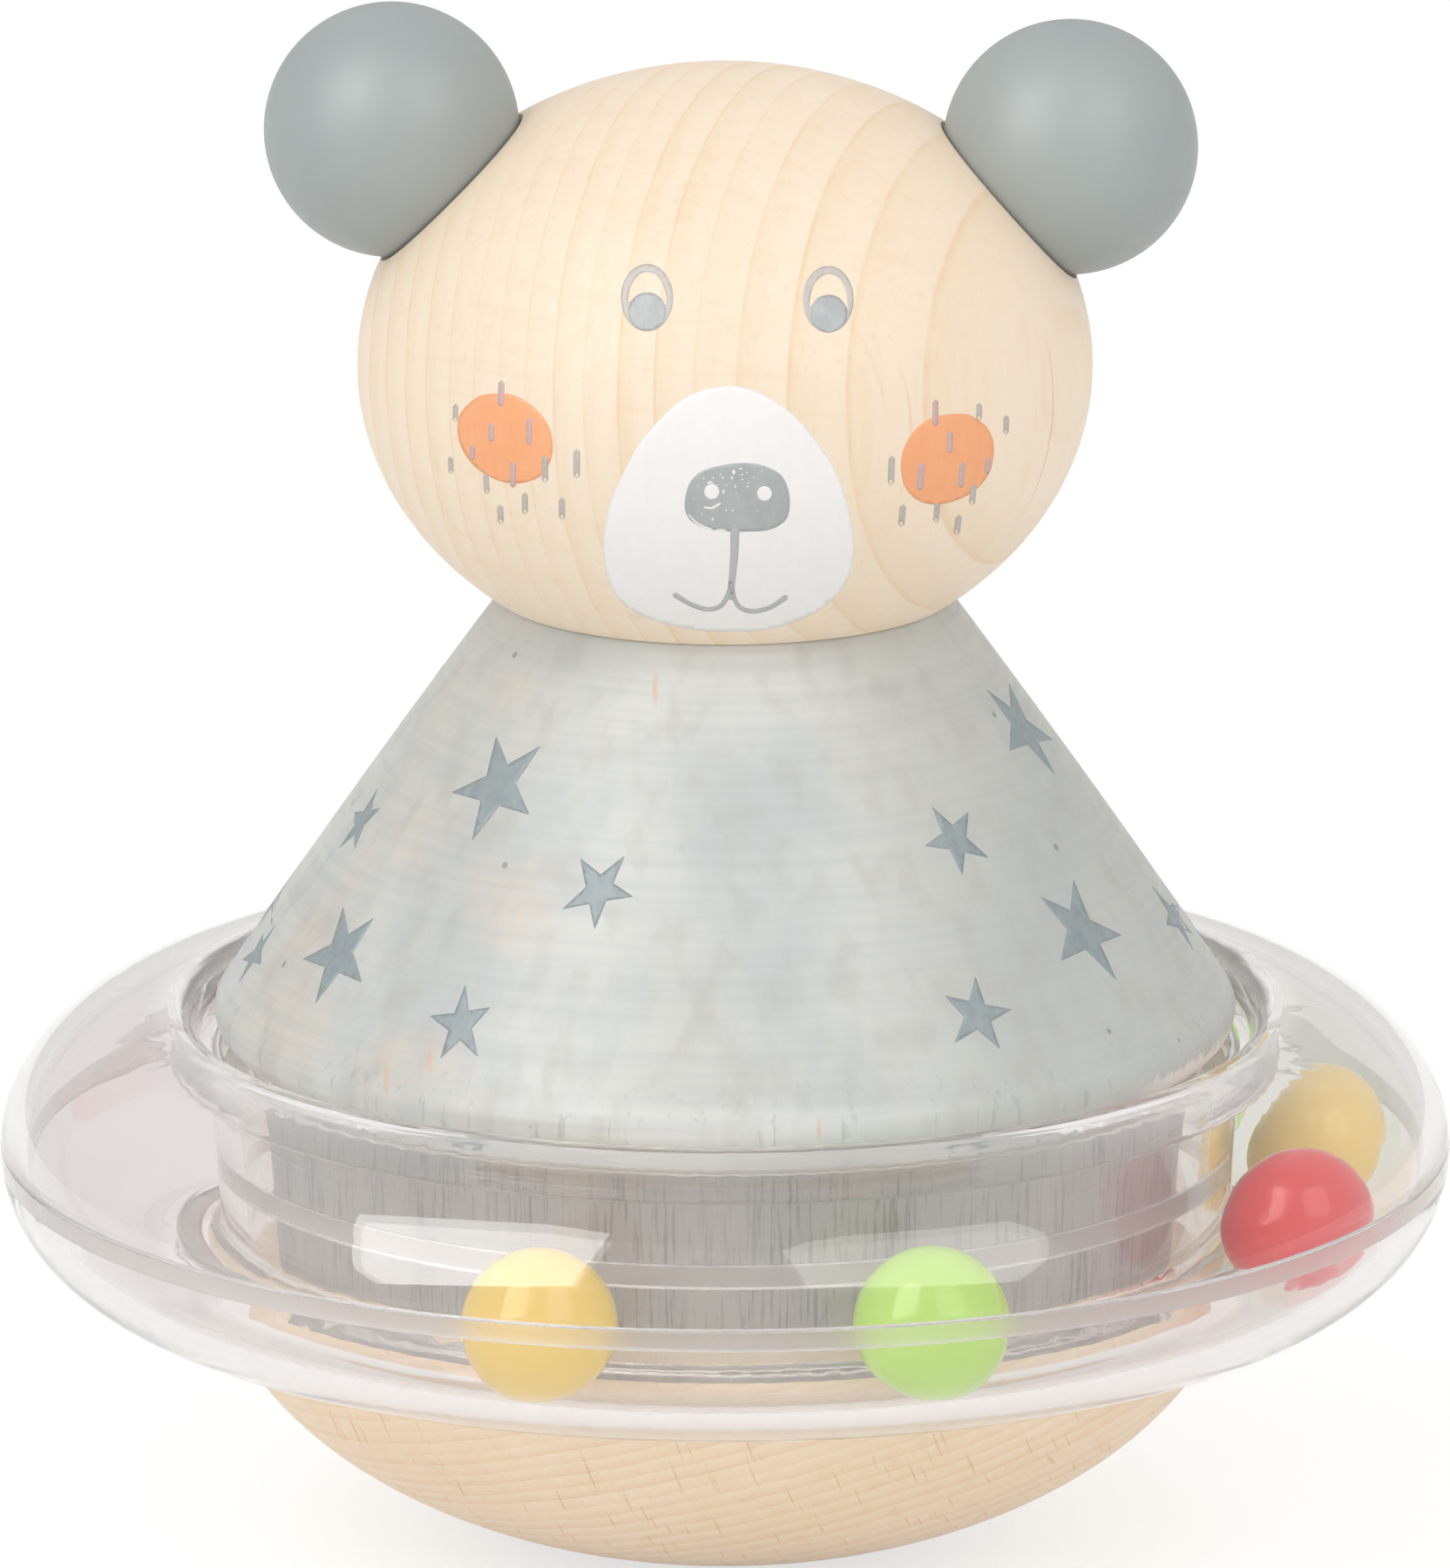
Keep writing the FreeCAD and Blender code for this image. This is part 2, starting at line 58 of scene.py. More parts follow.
def tone(red, green, blue):
    """A screen colour, 0 to 255, as the linear colour that a shader takes."""
    linear = []
    for value in (red, green, blue):
        share = value / 255
        linear.append(share / 12.92 if share <= 0.04045 else ((share + 0.055) / 1.055) ** 2.4)
    return (*linear, 1.0)


# Photograph to model

# A pixel that just misses a surface is moved towards the middle, by fewer pixels than this.
EDGE_SEARCH = 12


def photo_ray(u, v, turn=0.0):
    """The camera's place and the direction of its ray through a pixel, both turned about the toy's axis."""
    forward = (LOOK_AT - EYE).normalized()
    right = Vector((1.0, 0.0, 0.0))
    up = right.cross(forward)
    across = (u - IMAGE_WIDTH / 2) / FOCAL_PIXELS
    rise = (IMAGE_HEIGHT / 2 - v) / FOCAL_PIXELS
    direction = (forward + across * right + rise * up).normalized()
    about = Matrix.Rotation(turn, 3, "Z")
    return about @ EYE, about @ direction


def surface_of(name):
    """A CAD node's surface, ready for rays."""
    mesh = NODES[name].data
    corners = [vertex.co for vertex in mesh.vertices]
    faces = [tuple(face.vertices) for face in mesh.polygons]
    return BVHTree.FromPolygons(corners, faces)


SURFACES = {name: surface_of(name) for name in ("head", "body_cone")}


def on_surface(name, u, v, turn=0.0):
    """Where a CAD node shows at a pixel, or just inside its edge, and the outward direction there."""
    for inward in range(EDGE_SEARCH):
        eye, direction = photo_ray(u + math.copysign(inward, IMAGE_WIDTH / 2 - u), v, turn)
        place, normal, _, _ = SURFACES[name].ray_cast(eye, direction)
        if place is not None:
            break
    if normal.dot(direction) > 0:
        normal = -normal
    return place, normal


# Outlines, in pixels of the photograph

# The round end of a brush line reaches this share of its width beyond its last point.
STROKE_END = 0.45
# A star's inner corners stand this share of the way out from its middle to the line between two tips.
STAR_WAIST = 0.472
# Its tips are worn back by the first share of its edges, and the second is how sharp they stay.
STAR_WEAR = 0.05
STAR_POINT = 0.4


def curve_point(points, t):
    """The point at t, 0 to 1, of the Catmull-Rom curve between the middle two of four points."""
    before, start, end, after = points
    return tuple(
        0.5
        * (
            2 * start[a]
            + (end[a] - before[a]) * t
            + (2 * before[a] - 5 * start[a] + 4 * end[a] - after[a]) * t**2
            + (3 * start[a] - before[a] - 3 * end[a] + after[a]) * t**3
        )
        for a in range(len(start))
    )


def smooth_loop(points, steps=6):
    """A closed smooth curve through the points."""
    count = len(points)
    out = []
    for i in range(count):
        near = [points[(i + k) % count] for k in (-1, 0, 1, 2)]
        out += [curve_point(near, k / steps) for k in range(steps)]
    return out


def smooth_line(points, steps=6):
    """An open smooth curve through the points."""
    axes = range(len(points[0]))
    first = [2 * points[0][a] - points[1][a] for a in axes]
    last = [2 * points[-1][a] - points[-2][a] for a in axes]
    chain = [first, *points, last]
    out = []
    for i in range(len(points) - 1):
        out += [curve_point(chain[i : i + 4], k / steps) for k in range(steps)]
    out.append(tuple(points[-1]))
    return out


def oval(centre, radii, count=28):
    """An ellipse."""
    out = []
    for i in range(count):
        angle = 2 * math.pi * i / count
        out.append((centre[0] + radii[0] * math.cos(angle), centre[1] + radii[1] * math.sin(angle)))
    return out


def stroke(points, steps=6):
    """The outline of a brush line through (u, v, width) points, with round ends."""
    line = smooth_line(points, steps)
    left, right = [], []
    for i, (u, v, width) in enumerate(line):
        ahead = line[min(i + 1, len(line) - 1)]
        behind = line[max(i - 1, 0)]
        du, dv = ahead[0] - behind[0], ahead[1] - behind[1]
        length = math.hypot(du, dv)
        side = (-dv / length * width / 2, du / length * width / 2)
        left.append((u + side[0], v + side[1]))
        right.append((u - side[0], v - side[1]))
    outline = []
    for edge, tip, back in ((left, line[-1], line[-2]), (right[::-1], line[0], line[1])):
        outline += edge
        du, dv = tip[0] - back[0], tip[1] - back[1]
        length = math.hypot(du, dv)
        reach = tip[2] * STROKE_END
        outline.append((tip[0] + du / length * reach, tip[1] + dv / length * reach))
    return outline


def star(tips):
    """A five-pointed star from its tips, with slightly worn corners."""
    centre = [sum(tip[a] for tip in tips) / 5 for a in (0, 1)]
    inner = []
    for i, tip in enumerate(tips):
        following = tips[(i + 1) % 5]
        between = [(tip[a] + following[a]) / 2 for a in (0, 1)]
        inner.append(tuple(centre[a] + STAR_WAIST * (between[a] - centre[a]) for a in (0, 1)))
    out = []
    for i, tip in enumerate(tips):
        before, after = inner[i - 1], inner[i]
        one = [tip[a] + STAR_WEAR * (before[a] - tip[a]) for a in (0, 1)]
        two = [tip[a] + STAR_WEAR * (after[a] - tip[a]) for a in (0, 1)]
        blunt = [(1 - STAR_POINT) * (one[a] + two[a]) / 2 + STAR_POINT * tip[a] for a in (0, 1)]
        out += [tuple(one), tuple(blunt), tuple(two), after]
    return out


def divided(loop, step):
    """The loop with no edge longer than step."""
    out = []
    for i, start in enumerate(loop):
        end = loop[(i + 1) % len(loop)]
        parts = max(1, math.ceil(math.dist(start, end) / step))
        for k in range(parts):
            t = k / parts
            out.append((start[0] + (end[0] - start[0]) * t, start[1] + (end[1] - start[1]) * t))
    return out


def inside(point, loop):
    """True if the point lies in the loop."""
    u, v = point
    found = False
    for i, (u1, v1) in enumerate(loop):
        u2, v2 = loop[i - 1]
        if (v1 > v) != (v2 > v) and u < (u2 - u1) * (v - v1) / (v2 - v1) + u1:
            found = not found
    return found


def within(point, loops):
    """True if the point lies in the first loop and in none of the others, which are holes."""
    return inside(point, loops[0]) and not any(inside(point, hole) for hole in loops[1:])


# Paint skins

# How far a skin's top stands proud of the wood, how much more each further layer adds, and how deep
# all of them reach into the wood.
PRINT_LIFT = 0.012 * MM
PRINT_LAYER = 0.01 * MM
PRINT_DEPTH = 0.02 * MM
# Points closer than this are one point, in pixels.
SAME_PIXEL = 1e-5


def print_skin(name, shapes, node, material, layer=0, turns=(0.0,), step=4.0):
    """A thin closed skin of paint on a CAD surface. Each shape is an outline and its holes, in pixels."""
    vertices, faces, rounded = [], [], []
    lift = PRINT_LIFT + layer * PRINT_LAYER
    for turn in turns:
        for outline, holes in shapes:
            flat, triangles = filled(outline, holes, step)
            add_skin(vertices, faces, rounded, flat, triangles, node, turn, lift)
    mesh = bpy.data.meshes.new(name)
    mesh.from_pydata(vertices, [], faces)
    mesh.polygons.foreach_set("use_smooth", rounded)
    piece = bpy.data.objects.new(name, mesh)
    bpy.context.scene.collection.objects.link(piece)
    mesh.materials.append(material)
    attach(piece, "figure")
    return piece


def filled(outline, holes, step):
    """Points and triangles that fill an outline evenly, without its holes."""
    loops = [divided(loop, step) for loop in (outline, *holes)]
    points, edges = [], []
    for loop in loops:
        start = len(points)
        points += loop
        edges += [(start + i, start + (i + 1) % len(loop)) for i in range(len(loop))]
    low = [min(p[a] for p in loops[0]) for a in (0, 1)]
    high = [max(p[a] for p in loops[0]) for a in (0, 1)]
    rows = int((high[1] - low[1]) / step) + 1
    columns = int((high[0] - low[0]) / step) + 1
    rim = list(points)
    for row in range(rows):
        for column in range(columns):
            point = (low[0] + (column + 0.5 * (row % 2)) * step, low[1] + (row + 0.5) * step)
            if within(point, loops) and min(math.dist(point, other) for other in rim) > step / 2:
                points.append(point)
    corners = [Vector(point) for point in points]
    flat, _, triangles, *_ = delaunay_2d_cdt(corners, edges, [], 1, SAME_PIXEL)
    kept = []
    for triangle in triangles:
        middle = sum((flat[i] for i in triangle), Vector((0.0, 0.0))) / 3
        if within(middle, loops):
            kept.append(triangle)
    return flat, kept


def add_skin(vertices, faces, rounded, flat, triangles, node, turn, lift):
    """Adds one shape's top, underside and rim. Only the top is smooth-shaded."""
    start = len(vertices)
    count = len(flat)
    hits = [on_surface(node, point[0], point[1], turn) for point in flat]
    vertices += [place + normal * lift for place, normal in hits]
    vertices += [place - normal * PRINT_DEPTH for place, normal in hits]
    edges = {}
    for triangle in triangles:
        a, b, c = triangle
        out = (hits[b][0] - hits[a][0]).cross(hits[c][0] - hits[a][0])
        if out.dot(hits[a][1]) < 0:
            a, c = c, a
        faces.append((start + a, start + b, start + c))
        faces.append((start + count + c, start + count + b, start + count + a))
        rounded += [True, False]
        edges.update(dict.fromkeys(((a, b), (b, c), (c, a))))
    for a, b in edges:
        if (b, a) not in edges:
            faces.append((start + b, start + a, start + count + a, start + count + b))
            rounded.append(False)


# Materials


class Graph:
    """Builds one node material. Patterns are in metres of the object's own frame."""

    def __init__(self, name):
        self.material = bpy.data.materials.new(name)
        self.material.use_nodes = True
        self.nodes = self.material.node_tree.nodes
        self.links = self.material.node_tree.links
        self.nodes.clear()
        self.output = self.nodes.new("ShaderNodeOutputMaterial")
        coordinates = self.nodes.new("ShaderNodeTexCoord")
        self.point = coordinates.outputs["Object"]
        self.normal = coordinates.outputs["Normal"]

    def feed(self, socket, value):
        """Links a socket, or sets it where value is a plain number or colour."""
        if isinstance(value, bpy.types.NodeSocket):
            self.links.new(value, socket)
        else:
            socket.default_value = value

    def math(self, operation, first, second=0.0):
        node = self.nodes.new("ShaderNodeMath")
        node.operation = operation
        self.feed(node.inputs[0], first)
        self.feed(node.inputs[1], second)
        return node.outputs[0]

    def add(self, first, second):
        return self.math("ADD", first, second)

    def times(self, first, *others):
        """The product of two or more values."""
        for other in others:
            first = self.math("MULTIPLY", first, other)
        return first

    def vector(self, operation, first, second=(0.0, 0.0, 0.0)):
        node = self.nodes.new("ShaderNodeVectorMath")
        node.operation = operation
        self.feed(node.inputs[0], first)
        self.feed(node.inputs[1], second)
        return node

    def along(self, direction, vector=None):
        """How far the point, or another vector, lies along a direction."""
        return self.vector("DOT_PRODUCT", vector or self.point, direction).outputs["Value"]

    def length(self, vector):
        return self.vector("LENGTH", vector).outputs["Value"]

    def stretched(self, scale, shift=(0.0, 0.0, 0.0), turn=(0.0, 0.0, 0.0)):
        """The point, scaled on each axis, moved and turned."""
        node = self.nodes.new("ShaderNodeMapping")
        self.feed(node.inputs["Vector"], self.point)
        node.inputs["Scale"].default_value = scale
        node.inputs["Location"].default_value = shift
        node.inputs["Rotation"].default_value = turn
        return node.outputs[0]

    def axes(self, x, y, z):
        """A vector put together from three values."""
        node = self.nodes.new("ShaderNodeCombineXYZ")
        for socket, value in zip(node.inputs, (x, y, z), strict=True):
            self.feed(socket, value)
        return node.outputs[0]

    def noise(self, vector, scale=1.0, detail=2.0, roughness=0.5, distortion=0.0):
        node = self.nodes.new("ShaderNodeTexNoise")
        self.feed(node.inputs["Vector"], vector)
        node.inputs["Scale"].default_value = scale
        node.inputs["Detail"].default_value = detail
        node.inputs["Roughness"].default_value = roughness
        node.inputs["Distortion"].default_value = distortion
        return node.outputs["Fac"]

    def cells(self, vector, scale=1.0):
        """The distance to the nearest of many scattered points."""
        node = self.nodes.new("ShaderNodeTexVoronoi")
        self.feed(node.inputs["Vector"], vector)
        node.inputs["Scale"].default_value = scale
        return node.outputs["Distance"]

    def spread(self, value, low, high, start=0.0, end=1.0):
        """Value from low to high as start to end, eased at both ends and held beyond them."""
        node = self.nodes.new("ShaderNodeMapRange")
        node.interpolation_type = "SMOOTHSTEP"
        self.feed(node.inputs["Value"], value)
        node.inputs["From Min"].default_value = low
        node.inputs["From Max"].default_value = high
        node.inputs["To Min"].default_value = start
        node.inputs["To Max"].default_value = end
        return node.outputs[0]

    def clouds(self, noise, start=0.0, end=1.0):
        """A noise over its usual values, as start to end."""
        return self.spread(noise, 0.3, 0.7, start, end)

    def between(self, value, start, full, held, end):
        """1 from full to held, easing to 0 at start and end."""
        return self.times(self.spread(value, start, full), self.spread(value, end, held))

    def near(self, place, radii):
        """1 at a place on the object, easing to 0 at the radii, in millimetres."""
        scale = tuple(1 / (radius * MM) for radius in radii)
        shift = tuple(-place[a] * scale[a] for a in range(3))
        return self.spread(self.length(self.stretched(scale, shift)), 1.0, 0.0)

    def blend(self, factor, first, second, mode="MIX"):
        """The first colour where the factor is 0, the second where it is 1."""
        node = self.nodes.new("ShaderNodeMix")
        node.data_type = "RGBA"
        node.blend_type = mode
        self.feed(node.inputs[0], factor)
        self.feed(node.inputs[6], first)
        self.feed(node.inputs[7], second)
        return node.outputs[2]

    def bump(self, height, distance):
        """Relief: a height of 0 to 1 as that distance in metres."""
        node = self.nodes.new("ShaderNodeBump")
        node.inputs["Distance"].default_value = distance
        self.feed(node.inputs["Height"], height)
        return node.outputs[0]

    def shader(self, kind, **sockets):
        """A plain shader, its sockets given by name."""
        node = self.nodes.new("ShaderNode" + kind)
        for name, value in sockets.items():
            self.feed(node.inputs[name], value)
        return node.outputs[0]

    def mixed(self, factor, first, second):
        """The first shader where the factor is 0, the second where it is 1."""
        node = self.nodes.new("ShaderNodeMixShader")
        for socket, value in zip(node.inputs, (factor, first, second), strict=True):
            self.feed(socket, value)
        return node.outputs[0]

    def show(self, shader):
        """Makes a shader the material's surface."""
        self.links.new(shader, self.output.inputs["Surface"])

    def surface(self, colour, roughness, normal, **plain):
        """The Principled shader as the surface. Plain values go on its own sockets."""
        node = self.nodes.new("ShaderNodeBsdfPrincipled")
        self.feed(node.inputs["Base Color"], colour)
        self.feed(node.inputs["Roughness"], roughness)
        self.feed(node.inputs["Normal"], normal)
        for name, value in plain.items():
            node.inputs[name.replace("_", " ").title().replace("Ior", "IOR")].default_value = value
        self.show(node.outputs[0])
        return node.outputs[0]


def grain_scale(fibre, across, along):
    """Scales for a pattern that is drawn out along the fibre."""
    return tuple(across if abs(share) < 0.5 else along for share in fibre)


def growth(graph, across, fibre, step, start=0.0, widening=0.0, wobble=0.5):
    """Each growth ring's place from 0 to 1, from its sharp late edge on, and its strength.

    The rings are counted across the wood, step millimetres apart, and sway by about half of
    wobble to each side. Beyond the middle they widen with each millimetre.
    """
    scale = grain_scale(fibre, 45.0, 12.0)
    sway = graph.add(graph.noise(graph.stretched(scale)), -0.5)
    fine = graph.add(graph.noise(graph.stretched(tuple(9 * one for one in scale))), -0.5)
    distance = graph.times(graph.along(across), 1 / MM)
    distance = graph.add(distance, graph.times(sway, wobble * 2))
    distance = graph.add(distance, graph.times(fine, 0.22))
    phase = graph.times(distance, 1 / step)
    if widening:
        beyond = graph.math("MAXIMUM", distance, 0.0)
        phase = graph.add(phase, graph.times(beyond, beyond, -widening / step))
    phase = graph.add(phase, start)
    strength = graph.nodes.new("ShaderNodeTexWhiteNoise")
    strength.noise_dimensions = "1D"
    graph.feed(strength.inputs["W"], graph.math("FLOOR", phase))
    return graph.math("FRACT", phase), graph.spread(strength.outputs["Value"], 0.0, 1.0, 0.4, 1.0)


def cut_axes(graph, across, fibre):
    """The point's places along the wood's rays, its fibres, and across both."""
    outward = Vector(across).normalized()
    side = outward.cross(Vector(fibre)).normalized()
    return graph.along(tuple(outward)), graph.along(fibre), graph.along(tuple(side))


def ray_flecks(graph, across, fibre, thick, tall, gap):
    """Lens-shaped ray ends, in millimetres, that stand along the fibre."""
    outward, upward, side = cut_axes(graph, across, fibre)
    narrow = graph.times(side, 1 / (gap * MM))
    high = graph.times(upward, thick / (gap * tall * MM))
    deep = graph.times(outward, 1 / (50 * MM))
    distance = graph.cells(graph.axes(narrow, high, deep))
    return graph.spread(distance, thick / gap * 1.6, thick / gap * 0.5)


def ribbons(graph, across, fibre):
    """Faint broad ray figure, where the cut runs along the rays."""
    outward, upward, side = cut_axes(graph, across, fibre)
    long = graph.times(outward, 1 / (14 * MM))
    tall = graph.times(upward, 1 / (1.7 * MM))
    deep = graph.times(side, 1 / (5 * MM))
    wave = graph.noise(graph.axes(long, tall, deep), distortion=0.3)
    return graph.between(wave, 0.54, 0.6, 0.6, 0.7)


def growth_lines(graph, colour, facing, shades, across, fibre, rings, amount):
    """Darkens each growth ring towards its late edge, less where the surface faces across the rings."""
    _, _, tan, edge, _ = shades
    place, strength = growth(graph, across, fibre, **rings)
    strength = graph.times(strength, graph.spread(facing, 0.99, 0.88, 0.25, 1.0))
    band = graph.between(place, 0.0, 0.05, 0.05, 0.8)
    colour = graph.blend(graph.times(band, strength, 0.85 * amount), colour, tan)
    line = graph.between(place, 0.0, 0.03, 0.03, 0.14)
    broken = graph.spread(graph.noise(graph.point, 200.0), 0.32, 0.6, 0.3, 1.0)
    colour = graph.blend(graph.times(line, strength, broken, amount), colour, edge)
    figure = graph.times(ribbons(graph, across, fibre), graph.spread(facing, 0.85, 0.4))
    return graph.blend(graph.times(figure, 0.16 * amount), colour, edge)


def bare_wood(name, across, fibre, rings, shades, flecks, fleck_amount, ring_amount=1.0):
    """Pale close-grained hardwood under a thin satin lacquer.

    The growth rings are counted across the wood. The shades are two of the ground, those of a
    ring's body and late edge, and that of the ray flecks. The flecks show from the first to the
    second of their amounts as the surface turns to face the rays, up to the third.
    """
    shades = [tone(*shade) for shade in shades]
    pale, warm, tan, _, fleck = shades
    graph = Graph(name)
    facing = graph.math("ABSOLUTE", graph.along(tuple(Vector(across).normalized()), graph.normal))
    colour = graph.blend(graph.clouds(graph.noise(graph.point, 55.0)), pale, warm)
    colour = growth_lines(graph, colour, facing, shades, across, fibre, rings, ring_amount)
    scale = grain_scale(fibre, 900.0, 40.0)
    fibres = graph.noise(graph.stretched(scale), detail=4.0, roughness=0.6)
    colour = graph.blend(graph.spread(fibres, 0.42, 0.75, 0.0, 0.16), colour, tan, "MULTIPLY")
    fine = graph.noise(graph.stretched(grain_scale(fibre, 2600.0, 190.0)), detail=1.0)
    pores = graph.spread(fine, 0.62, 0.76)
    colour = graph.blend(graph.times(pores, 0.12), colour, fleck)
    first, second, most = fleck_amount
    ends = graph.times(ray_flecks(graph, across, fibre, *flecks), graph.spread(facing, first, second), most)
    colour = graph.blend(ends, colour, fleck)
    relief = graph.bump(graph.add(graph.times(fibres, 0.6), graph.times(pores, -0.4)), 0.012 * MM)
    roughness = graph.clouds(fibres, 0.38, 0.46)
    graph.surface(
        colour, roughness, relief, specular_ior_level=0.12, sheen_weight=0.07, sheen_roughness=0.35
    )
    return graph.material


def head_wood():
    return bare_wood(
        "head_wood",
        across=(0.942, -0.331, 0.058),
        fibre=(0.0, 0.0, 1.0),
        rings={"step": 2.3, "start": -0.65, "widening": 0.0095},
        shades=((252, 235, 213), (250, 232, 208), (247, 226, 197), (244, 216, 181), (232, 186, 142)),
        flecks=(0.12, 6.0, 1.0),
        fleck_amount=(0.55, 0.9, 0.6),
    )


def base_wood():
    return bare_wood(
        "base_wood",
        across=(-0.3, 0.02, 0.954),
        fibre=(0.0, 1.0, 0.0),
        rings={"step": 1.1, "wobble": 0.9},
        shades=((251, 233, 208), (249, 228, 201), (244, 217, 185), (240, 206, 168), (220, 162, 108)),
        flecks=(0.07, 0.95, 0.45),
        fleck_amount=(0.0, 0.2, 0.42),
        ring_amount=0.85,
    )


def dowel_wood():
    return bare_wood(
        "dowel_wood",
        across=(1.0, 0.3, 0.0),
        fibre=(0.0, 0.0, 1.0),
        rings={"step": 1.4},
        shades=((238, 214, 178), (234, 206, 168), (226, 192, 148), (214, 172, 124), (200, 150, 104)),
        flecks=(0.08, 6.0, 1.4),
        fleck_amount=(0.3, 0.8, 0.5),
    )


# Warm places of the stain, as pixels of the photograph and radii in millimetres.
WARM_PATCHES = (
    (479, 957, 5.0), (583, 1017, 6.0), (587, 1061, 5.0), (354, 1061, 5.0), (350, 1198, 5.5),
    (447, 1222, 6.5), (487, 1218, 4.5), (511, 808, 4.5), (583, 792, 4.0),
)
# Painted light on the stain: a lighter patch at the top middle, where the head's shadow falls, and a
# painted sheen band low at the front.
PAINTED_LIGHT_PATCHES = ((832, 778, (15.0, 15.0, 7.0)), (832, 1302, (24.0, 12.0, 3.0)))
# Orange grain streaks that show through it: pixel, half width and half height in millimetres.
STREAKS = (
    (752, 792, 0.35, 2.6), (443, 1238, 0.3, 1.9), (493, 1218, 0.3, 1.2), (940, 1296, 0.25, 1.4),
)
# The waist's darker stain fades out between these heights, in millimetres.
WAIST_STAIN_END = (39.15, 39.35)
# The bare rim: its heights in millimetres and its directions in degrees to the right of the front.
# It starts at the first, is full from the second to the third, and ends at the fourth.
BARE_RIM_HEIGHTS = (39.5, 39.9, 41.0, 41.6)
BARE_RIM_DIRECTIONS = (50, 60, 74, 84)


def stain_clouds(graph):
    """The cone's cloudy grey, with painted shade darkening its right side, warmer on the left and low down.
    """
    cloud = graph.noise(graph.point, 45.0, 4.0, 0.6)
    colour = graph.blend(graph.spread(cloud, 0.32, 0.68), tone(214, 215, 210), tone(208, 208, 202))
    blotch = graph.noise(graph.stretched((75.0, 75.0, 26.0)), detail=5.0, roughness=0.6)
    colour = graph.blend(graph.spread(blotch, 0.45, 0.66, 0.0, 0.6), colour, tone(188, 194, 196))
    # Painted shade: the right side is blended towards a darker grey, where the key light from the left
    # falls away.
    right = graph.spread(graph.along((1.0, -0.2, 0.0)), 6 * MM, 30 * MM)
    colour = graph.blend(graph.times(right, 0.6), colour, tone(188, 190, 184))
    left = graph.spread(graph.along((1.0, 0.0, 0.45)), 18 * MM, -22 * MM)
    mottle = graph.spread(graph.noise(graph.point, 95.0, 4.0, 0.65), 0.42, 0.62)
    return graph.blend(graph.times(left, mottle, 0.6), colour, tone(219, 208, 193))


def stain_patches(graph, colour):
    """Warm places where the stain is thin, and pale patches of painted light."""
    for u, v, radius in WARM_PATCHES:
        place, _ = on_surface("body_cone", u, v)
        patch = graph.near(place, (radius, radius, radius * 0.7))
        ragged = graph.spread(graph.noise(graph.point, 420.0, 4.0, 0.7), 0.38, 0.62, 0.25, 1.0)
        colour = graph.blend(graph.times(patch, ragged, 0.6), colour, tone(222, 208, 190))
    # Painted light: pale patches that lift the shadow under the head and paint a sheen low at the front.
    for u, v, radii in PAINTED_LIGHT_PATCHES:
        place, _ = on_surface("body_cone", u, v)
        colour = graph.blend(graph.times(graph.near(place, radii), 0.8), colour, tone(228, 228, 223))
    return colour


def stain_marks(graph, colour):
    """Grain streaks that show through, dark ticks low down, and specks."""
    for u, v, wide, tall in STREAKS:
        place, _ = on_surface("body_cone", u, v)
        streak = graph.near(place, (wide, 2.0, tall))
        colour = graph.blend(graph.times(streak, 0.6), colour, tone(228, 178, 140))
    ticks = graph.spread(graph.noise(graph.stretched((1500.0, 1500.0, 130.0))), 0.6, 0.7)
    low = graph.spread(graph.along((0.0, 0.0, 1.0)), 47 * MM, 40 * MM)
    colour = graph.blend(graph.times(ticks, low, 0.35), colour, tone(150, 152, 150))
    specks = graph.spread(graph.cells(graph.point, 210.0), 0.075, 0.045)
    return graph.blend(graph.times(specks, 0.55), colour, tone(120, 118, 114))


def waist_stain(graph, colour):
    """Darker stain with dark vertical streaks where the ring turns on the body."""
    low, high = WAIST_STAIN_END
    below = graph.spread(graph.along((0.0, 0.0, 1.0)), high * MM, low * MM)
    thin = graph.stretched((3400.0, 3400.0, 170.0))
    streaks = graph.noise(thin, detail=3.0, roughness=0.6, distortion=0.35)
    broad = graph.noise(graph.stretched((160.0, 160.0, 20.0)))
    stain = graph.blend(graph.clouds(broad), tone(182, 180, 176), tone(168, 166, 164))
    marked = graph.times(graph.spread(streaks, 0.5, 0.64), graph.spread(broad, 0.35, 0.65, 0.25, 0.65))
    stain = graph.blend(marked, stain, tone(100, 102, 105))
    return graph.blend(below, colour, stain), below


def bare_rim(graph, colour):
    """Bare, crumbly stain along the cone's lower edge at its right."""
    parts = graph.nodes.new("ShaderNodeSeparateXYZ")
    graph.feed(parts.inputs[0], graph.point)
    angle = graph.math("ARCTAN2", parts.outputs["X"], graph.times(parts.outputs["Y"], -1.0))
    span = graph.between(angle, *(math.radians(degrees) for degrees in BARE_RIM_DIRECTIONS))
    ragged = graph.times(graph.add(graph.noise(graph.point, 900.0, 3.0, 0.7), -0.5), 2.2 * MM)
    height = graph.add(parts.outputs["Z"], ragged)
    edge = graph.between(height, *(level * MM for level in BARE_RIM_HEIGHTS))
    return graph.blend(graph.times(span, edge, 0.85), colour, tone(232, 228, 219))


def stained_wood():
    """The coloured stain of the body: cloudy on the cone, darker and streaky on the waist."""
    graph = Graph("grey_stain")
    brushed = graph.noise(graph.stretched((45.0, 45.0, 1500.0)), detail=3.0, roughness=0.6)
    grain = graph.noise(graph.stretched((420.0, 420.0, 14.0)), detail=3.0)
    colour = stain_patches(graph, stain_clouds(graph))
    colour = graph.blend(graph.spread(brushed, 0.35, 0.75, 0.0, 0.3), colour, tone(184, 188, 188))
    colour = graph.blend(graph.spread(grain, 0.45, 0.75, 0.0, 0.35), colour, tone(184, 180, 172))
    colour, waist = waist_stain(graph, stain_marks(graph, colour))
    colour = bare_rim(graph, colour)
    relief = graph.add(graph.times(grain, 0.5), graph.times(brushed, 0.35))
    roughness = graph.add(graph.clouds(brushed, 0.36, 0.46), graph.times(waist, 0.12))
    graph.surface(colour, roughness, graph.bump(relief, 0.025 * MM), specular_ior_level=0.2)
    return graph.material


